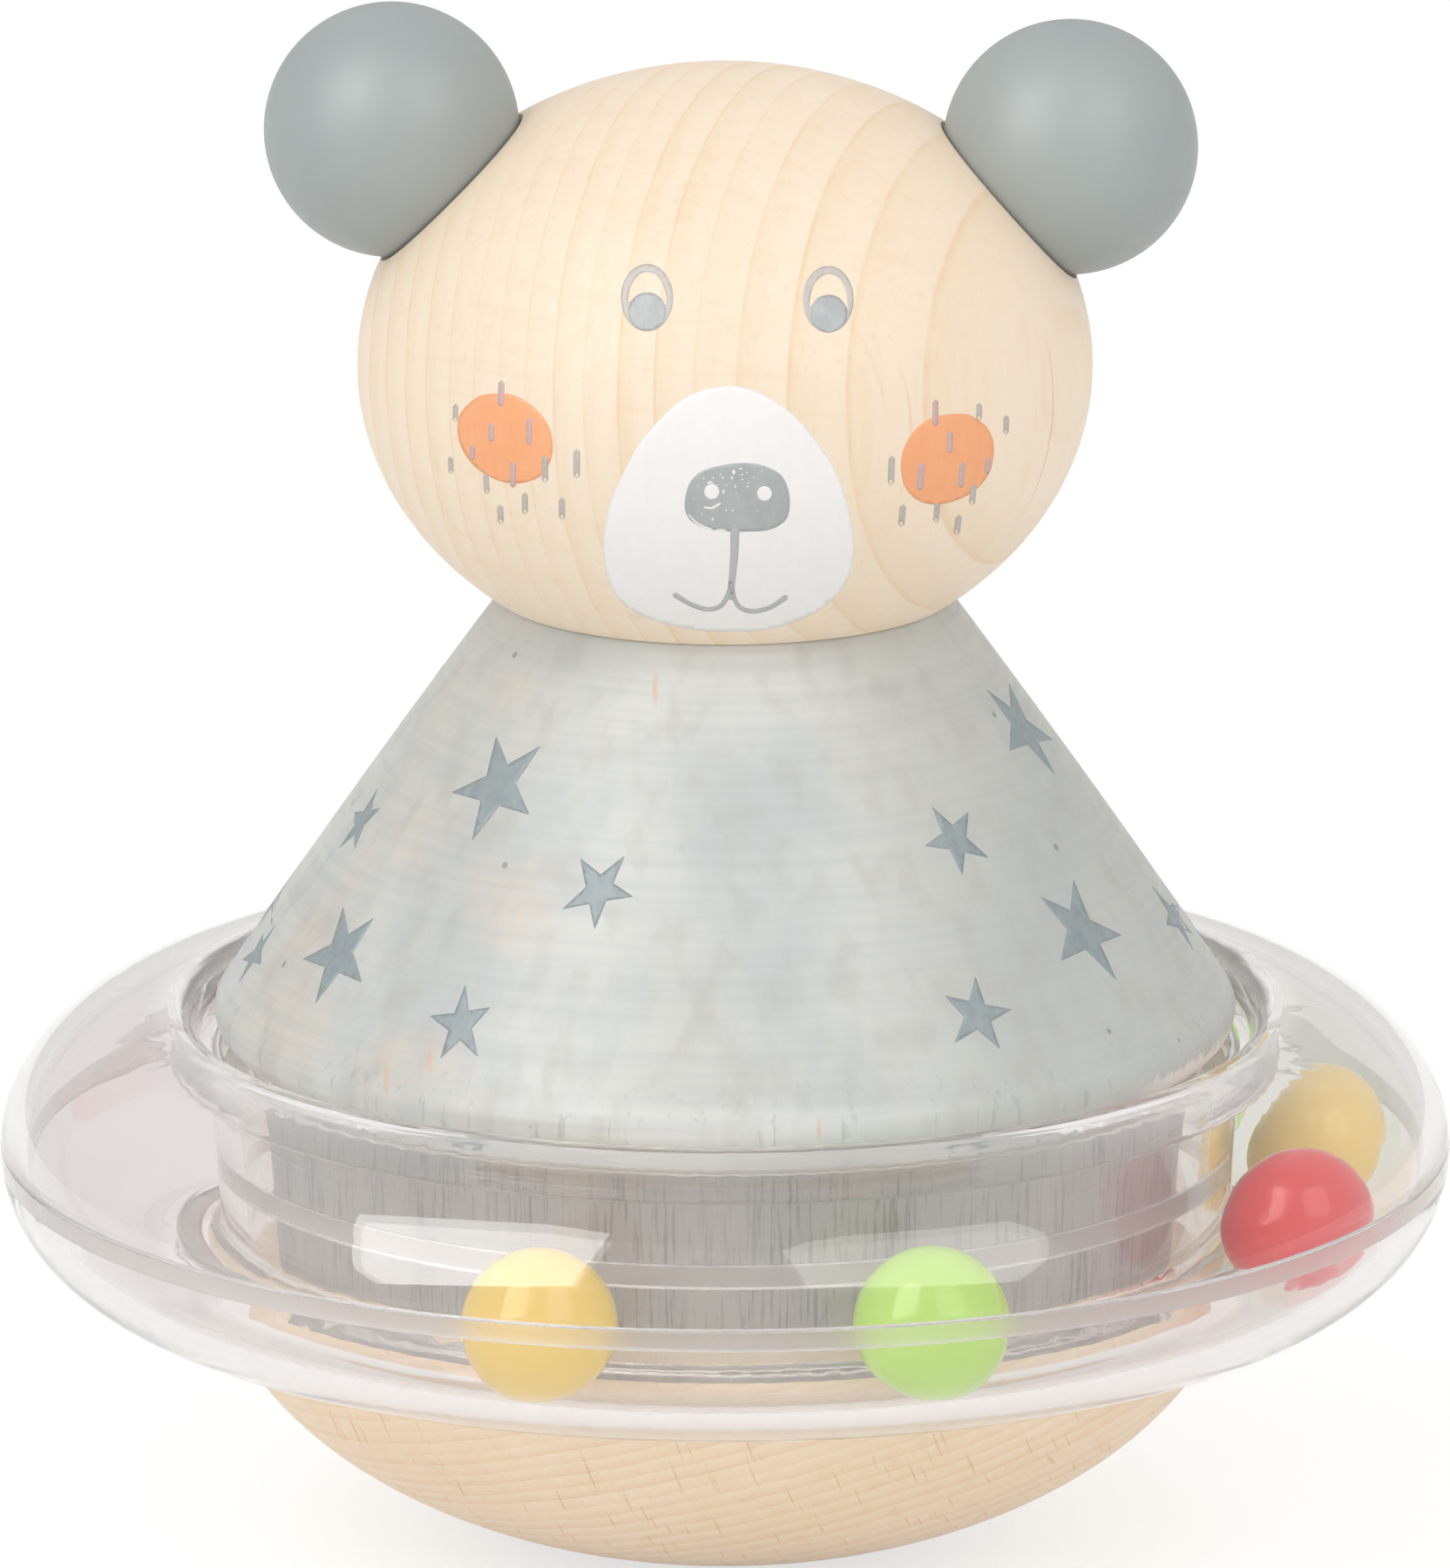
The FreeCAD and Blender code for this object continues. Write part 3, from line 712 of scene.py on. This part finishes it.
def ear_paint():
    """Satin grey paint of the ears."""
    graph = Graph("ear_paint")
    cloud = graph.noise(graph.point, 70.0, 3.0)
    colour = graph.blend(graph.clouds(cloud), tone(171, 178, 176), tone(166, 172, 171))
    peel = graph.noise(graph.point, 900.0)
    fibre = graph.noise(graph.stretched((1100.0, 1100.0, 90.0)), detail=3.0)
    specks = graph.spread(graph.cells(graph.point, 170.0), 0.05, 0.03)
    colour = graph.blend(graph.times(specks, 0.5), colour, tone(140, 142, 138))
    relief = graph.add(graph.times(peel, 0.6), graph.times(fibre, 0.4))
    roughness = graph.clouds(peel, 0.42, 0.5)
    graph.surface(colour, roughness, graph.bump(relief, 0.02 * MM), specular_ior_level=0.25)
    return graph.material


def lacquer(name, main, deep):
    """High-gloss lacquer of a wooden bead."""
    graph = Graph(name)
    colour = graph.blend(graph.clouds(graph.noise(graph.point, 160.0, 3.0)), main, deep)
    ripple = graph.noise(graph.point, 520.0)
    relief = graph.bump(ripple, 0.012 * MM)
    roughness = graph.clouds(ripple, 0.08, 0.14)
    graph.surface(
        colour, roughness, relief, specular_ior_level=0.4, coat_weight=0.15, coat_roughness=0.05
    )
    return graph.material


# Painted light: the inner walls are tinted clearer, lightening the recess, from the first radius to the
# second, in millimetres.
INNER_WALLS = (44.0, 42.0)
# Its glued joints are matt. Each starts at the first height or radius, is full from the second to
# the third, and ends at the fourth.
JOINT_HEIGHTS = (29.6, 29.75, 31.65, 31.75)
OUTER_JOINT = (52.9, 53.0, 54.5, 54.6)
INNER_JOINT = (36.15, 36.25, 37.8, 37.9)


def clear_plastic():
    """Clear plastic with fine scuffs and flow marks. Lamps shine through it."""
    graph = Graph("clear_plastic")
    flow = graph.noise(graph.stretched((30.0, 30.0, 120.0)))
    drawn_out = graph.stretched((500.0, 120.0, 500.0), turn=(0.0, 0.0, 0.6))
    scuff = graph.noise(drawn_out, detail=4.0, roughness=0.7)
    radius = graph.length(graph.vector("MULTIPLY", graph.point, (1.0, 1.0, 0.0)).outputs[0])
    height = graph.along((0.0, 0.0, 1.0))
    in_radius = [graph.between(radius, *(mm * MM for mm in radii)) for radii in (OUTER_JOINT, INNER_JOINT)]
    in_height = graph.between(height, *(mm * MM for mm in JOINT_HEIGHTS))
    joint = graph.times(in_height, graph.add(*in_radius))
    tint = graph.blend(graph.clouds(flow), tone(241, 238, 237), tone(238, 235, 234))
    # Painted light: the inner walls are tinted almost clear, which lightens the shaded recess around the
    # cone.
    lightened_inner_walls = graph.spread(radius, *(mm * MM for mm in INNER_WALLS))
    tint = graph.blend(lightened_inner_walls, tint, tone(254, 253, 252))
    tint = graph.blend(joint, tint, tone(255, 252, 250))
    roughness = graph.add(graph.spread(scuff, 0.55, 0.8, 0.015, 0.07), graph.times(joint, 0.45))
    relief = graph.bump(graph.add(graph.times(flow, 0.8), graph.times(scuff, 0.05)), 0.004 * MM)
    plastic = graph.surface(tint, roughness, relief, transmission_weight=0.97, ior=1.45)
    path = graph.nodes.new("ShaderNodeLightPath")
    passing = graph.math("MAXIMUM", path.outputs["Is Shadow Ray"], path.outputs["Is Diffuse Ray"])
    nothing = graph.shader("BsdfTransparent", Color=(1.0, 1.0, 1.0, 1.0))
    graph.show(graph.mixed(passing, plastic, nothing))
    return graph.material


def cast_iron():
    graph = Graph("cast_iron")
    grit = graph.noise(graph.point, 900.0, 5.0, 0.7)
    colour = graph.blend(graph.clouds(grit), tone(88, 88, 90), tone(64, 63, 64))
    graph.surface(colour, graph.clouds(grit, 0.45, 0.7), graph.bump(grit, 0.08 * MM), metallic=1.0)
    return graph.material


def print_paint(name, main, other, cover=0.35):
    """Thin matt printing paint that follows the wood's fibres, its two shades mixed over the cover."""
    graph = Graph(name)
    patch = graph.noise(graph.point, 600.0, 4.0, 0.7)
    fibre = graph.noise(graph.stretched((1300.0, 1300.0, 60.0)), detail=3.0)
    worn = graph.add(graph.times(patch, 0.5), graph.times(fibre, 0.5))
    colour = graph.blend(graph.spread(worn, 0.5 - cover / 2, 0.5 + cover / 2), tone(*main), tone(*other))
    roughness = graph.clouds(patch, 0.45, 0.56)
    graph.surface(colour, roughness, graph.bump(worn, 0.02 * MM), specular_ior_level=0.4)
    return graph.material


def dress_nodes():
    """Gives every CAD node its detailed material."""
    wood, plastic, paint = dowel_wood(), clear_plastic(), ear_paint()
    materials = {
        "base": base_wood(),
        "head": head_wood(),
        "body_cone": stained_wood(),
        "left_ear": paint,
        "right_ear": paint,
        "ring_upper_shell": plastic,
        "ring_lower_shell": plastic,
        "ballast_weight": cast_iron(),
    }
    beads = {
        "yellow": lacquer("yellow_lacquer", tone(255, 221, 118), tone(255, 215, 108)),
        "green": lacquer("green_lacquer", tone(200, 243, 118), tone(194, 238, 108)),
        "red": lacquer("red_lacquer", tone(242, 57, 61), tone(236, 49, 53)),
    }
    for name, piece in NODES.items():
        material = materials.get(name) or beads.get(name.split("_")[0], wood)
        for slot in piece.material_slots:
            slot.material = material


# The printed face

MUZZLE = (
    (838, 443), (862, 447), (887.6, 459.7), (913, 478), (937, 506), (955, 533), (966.7, 558.5),
    (974.6, 586), (979, 612), (979.5, 637.6), (973.6, 663), (960.7, 683), (937, 702), (907, 715.7),
    (874, 723.6), (838, 725), (802.6, 723.6), (767, 717), (735, 706), (711.6, 689), (698.8, 667),
    (692.8, 639.6), (693.4, 612), (699.8, 578), (711.6, 550.6), (731, 513), (755, 484),
    (779, 461.6), (806.5, 447.8),
)
NOSE = (
    (826.3, 534.4), (844, 531.8), (862, 531.8), (879.7, 535.8), (895.5, 544.7), (903.4, 558.5),
    (906.4, 576.3), (903.4, 594), (892.5, 604), (877.7, 609), (858, 610), (838, 610), (818.4, 608),
    (800.6, 603), (788.7, 592), (785.8, 577.3), (789.7, 558.5), (798.6, 545.7), (810.5, 538.7),
)
NOSTRILS = (((816.8, 564.4), (8.7, 8.9)), ((877.3, 566.4), (8.5, 8.5)))
NOSE_LINES = (
    ((808.1, 582.2, 2.0), (816.4, 583.2, 2.6), (822, 580.8, 2.6), (826.7, 577.7, 2.0)),
    ((811.5, 554.6, 1.6), (815, 553.4, 2.4), (818, 554.8, 1.6)),
    ((790.7, 591, 1.6), (800.6, 601.2, 2.2), (811, 605.6, 2.2), (816.4, 607, 1.4)),
    ((822.4, 607.8, 1.4), (828, 608.4, 2.2), (833.4, 608.6, 1.4)),
)
# White specks of the nose: pixel and half width, half height.
NOSE_SPECKS = (
    (842, 542, 2.0, 2.8), (840, 548.4, 1.3, 2.1), (850, 538, 2.4, 0.9), (851.6, 544.6, 1.5, 0.9),
    (857, 542.4, 1.3, 0.8), (829.6, 548.6, 1.4, 1.1), (826.8, 544.6, 1.0, 1.2),
    (818.4, 548.6, 1.2, 1.0), (807.6, 549.2, 1.1, 0.9), (844, 558.4, 1.1, 1.8),
    (859, 554.2, 1.3, 0.8), (858, 558.4, 1.4, 1.1), (852, 550.6, 1.2, 0.9), (874.2, 541, 1.0, 0.9),
    (845, 566.4, 0.9, 0.8), (830.4, 564.6, 1.4, 2.2), (817.8, 596, 1.1, 1.9),
    (833.2, 585.6, 1.0, 1.1), (840.6, 585.6, 1.1, 1.0), (869.2, 586.8, 0.9, 0.8),
    (833.4, 557, 0.8, 0.8), (801, 558, 0.8, 0.8), (812, 570, 0.7, 0.7), (865, 548, 0.8, 0.7),
    (824, 556.5, 0.8, 0.7), (848, 572, 0.7, 0.6), (796, 572, 0.7, 0.8), (806, 590, 0.8, 0.7),
)
MOUTH_STEM = (
    (843.2, 607, 10.4), (843.2, 622, 9.8), (842.4, 640, 9.2), (840.8, 658, 8.2), (839.4, 672, 7.6),
    (838.6, 686, 7.2),
)
MOUTH_LEFT = (
    (839.6, 668, 5.2), (836, 681, 5.6), (828, 694.5, 5.4), (815, 699.2, 5.2), (802, 697, 5.2),
    (788, 691, 5.4), (774.4, 682.6, 6.2),
)
MOUTH_RIGHT = (
    (840, 670, 5.0), (842.4, 686, 5.2), (850, 697.6, 5.2), (865, 701.4, 5.4), (882, 697.6, 5.4),
    (893, 691.6, 5.6), (901.6, 685.4, 6.2),
)
# Eyes: outline, the pale gap above the pupil, and the pupil.
EYES = {
    "left": {
        "outline": ((742.5, 341.8), (29.9, 38.8)),
        "gap": (
            (720.6, 344.9), (723.7, 329), (731.8, 316.7), (742, 312.1), (753.3, 315.7),
            (761.4, 328), (765.5, 343.3), (763.5, 350.4), (755.3, 340.2), (743, 335.7),
            (730.8, 339.2), (723.6, 346.3),
        ),
        "pupil": ((742.6, 357.6), (21.6, 21.9)),
    },
    "right": {
        "outline": ((950.4, 343.6), (29.2, 38.4)),
        "gap": (
            (928.8, 348.4), (932.9, 329), (942, 317.8), (952.2, 314.3), (963.5, 319.8),
            (970.6, 334.1), (972.7, 350.4), (971.2, 352.4), (963.5, 342.2), (951.2, 338.2),
            (938, 342.2), (930.8, 351.4),
        ),
        "pupil": ((951, 360), (21.2, 21.2)),
    },
}
CHEEKS = {
    "left": (
        (571.6, 451.8), (553.8, 453.7), (541, 460.7), (528.3, 474.7), (525.1, 488.8), (527, 506.6),
        (534, 522), (544.8, 535.3), (558.9, 545.5), (572.9, 551.9), (587, 554.8), (598.4, 554.5),
        (612.4, 550.6), (623.9, 543.6), (631.6, 529.6), (634.4, 514.3), (632.2, 496.4),
        (625.2, 481.1), (612.4, 467.1), (597.1, 456.9), (584.4, 452.4),
    ),
    "right": (
        (1096.9, 475.2), (1111, 476), (1122.4, 482), (1132.7, 490.9), (1139, 503.7),
        (1140.6, 516.4), (1139, 530.5), (1135.2, 543.2), (1125, 557.2), (1112.2, 567.4),
        (1096.9, 574.5), (1081.6, 578.3), (1068.9, 578.9), (1054.8, 575.1), (1043.4, 566.2),
        (1036.4, 553.4), (1033.8, 536.8), (1035.1, 521.5), (1040.8, 506.2), (1051, 492.2),
        (1063.8, 482.6), (1079, 476.9),
    ),
}
# Dashes: top pixel, bottom pixel and width.
DASHES = {
    "left": (
        ((575.5, 436.5), (574.8, 467.1), 6.6), ((522.9, 463.3), (522.7, 484.3), 5.9),
        ((564, 484.9), (563.7, 507.9), 6.4), ((607.6, 479.2), (607.1, 511.1), 6.4),
        ((542.6, 510.5), (542.3, 528.3), 5.7), ((517, 523.9), (517.8, 544.3), 5.4),
        ((557.6, 543), (558.9, 567.2), 6.1), ((588.9, 529.6), (588.9, 560.2), 6.4),
        ((625.5, 522.6), (625.5, 554.5), 7.2), ((661.9, 514.9), (661.9, 549.4), 7.4),
        ((573.9, 578.7), (574.8, 601.7), 6.8), ((602.2, 564.7), (602.6, 590.8), 6.8),
        ((644.6, 570.4), (645, 596.6), 6.8),
    ),
    "right": (
        ((1073.5, 458.4), (1073.2, 489.6), 6.4), ((1123.5, 462.2), (1123.5, 483.3), 6.4),
        ((1154.6, 476.3), (1154.3, 499.2), 6.0), ((1090.3, 494.7), (1089.7, 521.5), 6.4),
        ((1023.3, 522.8), (1022.3, 557.2), 7.3), ((1057.4, 530.5), (1055.5, 563.6), 7.4),
        ((1104.6, 529.8), (1102.4, 560.4), 6.4), ((1133.7, 524.1), (1132.7, 545.1), 6.0),
        ((1117.1, 555.3), (1115.4, 580.5), 6.8), ((1075.5, 575.7), (1074.2, 600.6), 6.4),
        ((1036.1, 578.3), (1034.2, 605.1), 7.3), ((1100.1, 590.4), (1097.6, 614.6), 7.2),
    ),
}
STARS = (
    ((569.5, 844.6), (620.9, 855.9), (607.7, 935.4), (541.4, 966.0), (517.7, 909.7)),
    ((434.1, 904.1), (436.9, 927.4), (406.8, 976.4), (388.7, 974.4), (406.8, 932.2)),
    ((665.9, 985.3), (717.3, 982.0), (727.0, 1029.4), (682.4, 1067.2), (645.0, 1043.9)),
    ((393.9, 1040.7), (429.7, 1053.2), (415.6, 1128.3), (361.4, 1153.2), (346.9, 1101.0)),
    ((534.1, 1129.9), (563.1, 1156.0), (548.6, 1213.5), (505.2, 1215.5), (492.8, 1166.0)),
    ((317.2, 1060.4), (299.1, 1107.0), (273.4, 1129.1), (277.8, 1101.8), (302.3, 1071.6)),
    ((1131.4, 790.6), (1157.6, 783.7), (1208.2, 849.0), (1212.2, 891.0), (1158.4, 862.0)),
    ((1068.6, 925.3), (1111.4, 931.8), (1134.7, 984.9), (1104.5, 1005.3), (1061.2, 971.0)),
    ((1231.8, 1009.4), (1287.3, 1073.5), (1282.0, 1126.1), (1217.1, 1103.3), (1193.1, 1029.0)),
    ((1119.2, 1120.8), (1161.2, 1158.8), (1147.8, 1204.5), (1095.1, 1197.6), (1084.1, 1142.9)),
    ((1321.6, 1016.7), (1349.0, 1030.6), (1368.6, 1072.2), (1370.2, 1091.8), (1338.8, 1061.6)),
)
# The unprinted dot near a dash's foot: its radii as shares of the dash's width, and how many pixels
# it stands above the middle of the dash's round end.
DOT_RADII = (0.24, 0.36)
DOT_RISE = 0.4


def dash(top, bottom, width, over_cheek):
    """A round-ended dash, with an unprinted dot near its foot where it stands on wood."""
    upper = (top[0], top[1] + width / 2, width)
    lower = (bottom[0], bottom[1] - width / 2, width)
    middle = ((upper[0] + lower[0]) / 2, (upper[1] + lower[1]) / 2, width)
    outline = stroke((upper, middle, lower), steps=3)
    radii = [width * share for share in DOT_RADII]
    dot = oval((lower[0], lower[1] - DOT_RISE), radii, count=8)
    return outline, [] if over_cheek else [dot]


def print_muzzle():
    """The white muzzle with its nose and mouth."""
    white = print_paint("muzzle_paint", (250, 247, 245), (247, 244, 242))
    nose_grey = print_paint("print_grey", (173, 178, 178), (183, 188, 187))
    mouth_grey = print_paint("mouth_grey", (186, 189, 188), (194, 197, 195))
    print_skin("muzzle_print", [(smooth_loop(MUZZLE, 4), [])], "head", white, step=5.0)
    print_skin("nose_print", [(smooth_loop(NOSE, 4), [])], "head", nose_grey, layer=1)
    marks = [(oval(*spot), []) for spot in NOSTRILS]
    marks += [(stroke(line, 4), []) for line in NOSE_LINES]
    marks += [(oval((u, v), (wide, tall), count=8), []) for u, v, wide, tall in NOSE_SPECKS]
    print_skin("nose_marks", marks, "head", white, layer=2, step=2.0)
    mouth = [(stroke(line), []) for line in (MOUTH_STEM, MOUTH_LEFT, MOUTH_RIGHT)]
    print_skin("mouth_print", mouth, "head", mouth_grey, layer=1, step=3.0)


def print_eye(side, paints):
    """An eye: a grey oval that leaves a pale gap above its pupil."""
    eye = EYES[side]
    ring = (oval(*eye["outline"], count=48), [smooth_loop(eye["gap"], 3)])
    print_skin(f"{side}_eye_print", [ring], "head", paints["eye"], step=3.0)
    pupil = (oval(*eye["pupil"], count=36), [])
    print_skin(f"{side}_pupil_print", [pupil], "head", paints["pupil"], layer=1, step=3.0)


def print_cheek(side, paints):
    """An orange cheek and its dashes, which look lilac where they lie over it."""
    cheek = smooth_loop(CHEEKS[side], 3)
    print_skin(f"{side}_cheek_print", [(cheek, [])], "head", paints["cheek"])
    dashes = {"on_wood": [], "on_cheek": []}
    for top, bottom, width in DASHES[side]:
        over_cheek = inside((bottom[0], bottom[1] - width), cheek)
        ground = "on_cheek" if over_cheek else "on_wood"
        dashes[ground].append(dash(top, bottom, width, over_cheek))
    for ground, shapes in dashes.items():
        print_skin(f"{side}_dashes_{ground}", shapes, "head", paints[ground], layer=1, step=2.5)


def print_sides():
    """Each side's eye and cheek."""
    paints = {
        "eye": print_paint("eye_grey", (195, 189, 182), (204, 198, 190)),
        "pupil": print_paint("pupil_grey", (173, 177, 177), (187, 191, 190), cover=0.2),
        "cheek": print_paint("cheek_orange", (253, 180, 132), (251, 174, 122)),
        "on_wood": print_paint("dash_grey", (193, 184, 176), (202, 193, 184)),
        "on_cheek": print_paint("dash_lilac", (206, 176, 174), (212, 182, 178)),
    }
    for side in EYES:
        print_eye(side, paints)
        print_cheek(side, paints)


def print_stars():
    """The stars of the body: those the photograph shows, and the same again behind."""
    paint = print_paint("star_grey", (143, 155, 158), (157, 166, 168), cover=0.3)
    shapes = [(star(tips), []) for tips in STARS]
    piece = print_skin("star_prints", shapes, "body_cone", paint, turns=(0.0, math.pi))


# Stage. Places and lengths are in metres, and powers in watts.

# How strong the white surroundings are as a lamp and in gloss. Where they are seen they are white.
WORLD_LIGHT = 0.76
WORLD_GLOSS = 0.6

# The floor reaches this far each way. Light bounces off the first grey. Where the floor is seen it
# is the second grey and a glow, which looks white and keeps the shadow.
FLOOR_REACH = 4.0
FLOOR_BOUNCE = (0.9, 0.9, 0.9, 1.0)
FLOOR_SEEN = (0.4, 0.4, 0.4, 1.0)
FLOOR_GLOW = 0.68

TOY_MIDDLE = (0.0, 0.0, 0.06)
KEY_LIGHT = {"place": (-0.58, -0.64, 0.9), "size": (0.92, 1.1), "power": 3.4}
FILL_LIGHT = {"place": (0.52, -0.71, 0.86), "size": (0.92, 1.0), "power": 1.8}

# The white cards that the ring mirrors: each corner's azimuth and elevation in degrees, seen from
# the middle of the ring.
RING_MIDDLE_HEIGHT = 0.031
CARD_DISTANCE = 1.0
LEFT_CARD = (
    (-81, 50), (-66, 34), (-59, 16), (-54, 9), (-37, 19), (-24, 25), (-25, 46), (-28, 59),
    (-33, 67), (-55, 68), (-74, 58),
)
LEFT_CARD_GLOW = 6.5
RIGHT_CARD = (
    (12, 56), (13, 27), (30, 22), (46, 17), (54, 29), (64, 46), (70, 58), (54, 62), (34, 65),
    (20, 62),
)
RIGHT_CARD_GLOW = 3.4


def world():
    """Even white surroundings: plain white where they are seen, softer where they light."""
    surroundings = bpy.data.worlds.new("surroundings")
    bpy.context.scene.world = surroundings
    surroundings.use_nodes = True
    nodes = surroundings.node_tree.nodes
    links = surroundings.node_tree.links
    nodes.clear()
    path = nodes.new("ShaderNodeLightPath")
    seen = nodes.new("ShaderNodeMath")
    seen.operation = "MAXIMUM"
    links.new(path.outputs["Is Camera Ray"], seen.inputs[0])
    links.new(path.outputs["Is Transmission Ray"], seen.inputs[1])
    unseen = nodes.new("ShaderNodeMapRange")
    links.new(path.outputs["Is Glossy Ray"], unseen.inputs["Value"])
    unseen.inputs["To Min"].default_value = WORLD_LIGHT
    unseen.inputs["To Max"].default_value = WORLD_GLOSS
    strength = nodes.new("ShaderNodeMapRange")
    links.new(seen.outputs[0], strength.inputs["Value"])
    links.new(unseen.outputs[0], strength.inputs["To Min"])
    strength.inputs["To Max"].default_value = 1.0
    background = nodes.new("ShaderNodeBackground")
    background.inputs["Color"].default_value = (1.0, 1.0, 1.0, 1.0)
    links.new(strength.outputs[0], background.inputs["Strength"])
    output = nodes.new("ShaderNodeOutputWorld")
    links.new(background.outputs[0], output.inputs["Surface"])


def stage_sheet(name, corners, material):
    """A sheet of one face, linked into the scene."""
    mesh = bpy.data.meshes.new(name)
    mesh.from_pydata(corners, [], [tuple(range(len(corners)))])
    mesh.materials.append(material)
    piece = bpy.data.objects.new(name, mesh)
    bpy.context.scene.collection.objects.link(piece)
    return piece


def floor():
    """A plain white floor that keeps the toy's shadow."""
    graph = Graph("floor_white")
    path = graph.nodes.new("ShaderNodeLightPath")
    seen = graph.math("MAXIMUM", path.outputs["Is Camera Ray"], path.outputs["Is Glossy Ray"])
    seen = graph.math("MAXIMUM", seen, path.outputs["Is Transmission Ray"])
    bounce = graph.shader("BsdfDiffuse", Color=FLOOR_BOUNCE)
    both = graph.nodes.new("ShaderNodeAddShader")
    graph.feed(both.inputs[0], graph.shader("BsdfDiffuse", Color=FLOOR_SEEN))
    graph.feed(both.inputs[1], graph.shader("Emission", Strength=FLOOR_GLOW))
    graph.show(graph.mixed(seen, bounce, both.outputs[0]))
    directions = ((-1, -1), (1, -1), (1, 1), (-1, 1))
    corners = [(x * FLOOR_REACH, y * FLOOR_REACH, 0.0) for x, y in directions]
    stage_sheet("floor", corners, graph.material)


def area_light(name, place, size, power):
    """A rectangular softbox that faces the toy. Gloss doesn't mirror it."""
    data = bpy.data.lights.new(name, "AREA")
    data.shape = "RECTANGLE"
    data.size, data.size_y = size
    data.energy = power
    light = bpy.data.objects.new(name, data)
    bpy.context.scene.collection.objects.link(light)
    light.location = place
    light.rotation_euler = (Vector(TOY_MIDDLE) - Vector(place)).to_track_quat("-Z", "Y").to_euler()
    light.visible_glossy = False


def sheen_card(name, outline, glow):
    """A white card beside the camera that shows only in gloss and through clear plastic."""
    corners = []
    for azimuth, elevation in outline:
        turn, rise = math.radians(azimuth), math.radians(elevation)
        reach = CARD_DISTANCE * math.cos(rise)
        height = RING_MIDDLE_HEIGHT + CARD_DISTANCE * math.sin(rise)
        corners.append((reach * math.sin(turn), -reach * math.cos(turn), height))
    graph = Graph(name)
    graph.show(graph.shader("Emission", Strength=glow))
    card = stage_sheet(name, corners, graph.material)
    card.visible_camera = False
    card.visible_diffuse = False
    card.visible_volume_scatter = False
    card.visible_shadow = False


def lights():
    """A large softbox and a card to each side of the camera, the left ones stronger."""
    area_light("key_light", **KEY_LIGHT)
    area_light("fill_light", **FILL_LIGHT)
    sheen_card("left_card", LEFT_CARD, LEFT_CARD_GLOW)
    sheen_card("right_card", RIGHT_CARD, RIGHT_CARD_GLOW)


def camera():
    data = bpy.data.cameras.new("camera")
    data.sensor_fit = "AUTO"
    data.sensor_width = SENSOR_MM
    data.lens = FOCAL_PIXELS / IMAGE_HEIGHT * SENSOR_MM
    data.clip_start = 0.01
    data.clip_end = 20.0
    piece = bpy.data.objects.new("camera", data)
    bpy.context.scene.collection.objects.link(piece)
    piece.location = EYE
    piece.rotation_euler = (LOOK_AT - EYE).to_track_quat("-Z", "Y").to_euler()
    bpy.context.scene.camera = piece


def light_paths():
    """Enough bounces for light to pass the ring's many clear walls."""
    cycles = bpy.context.scene.cycles
    cycles.max_bounces = 40
    cycles.glossy_bounces = 24
    cycles.transmission_bounces = 32
    cycles.transparent_max_bounces = 32


bpy.context.scene.view_settings.view_transform = "Standard"
light_paths()
camera()
world()
floor()
lights()
dress_nodes()
print_muzzle()
print_sides()
print_stars()
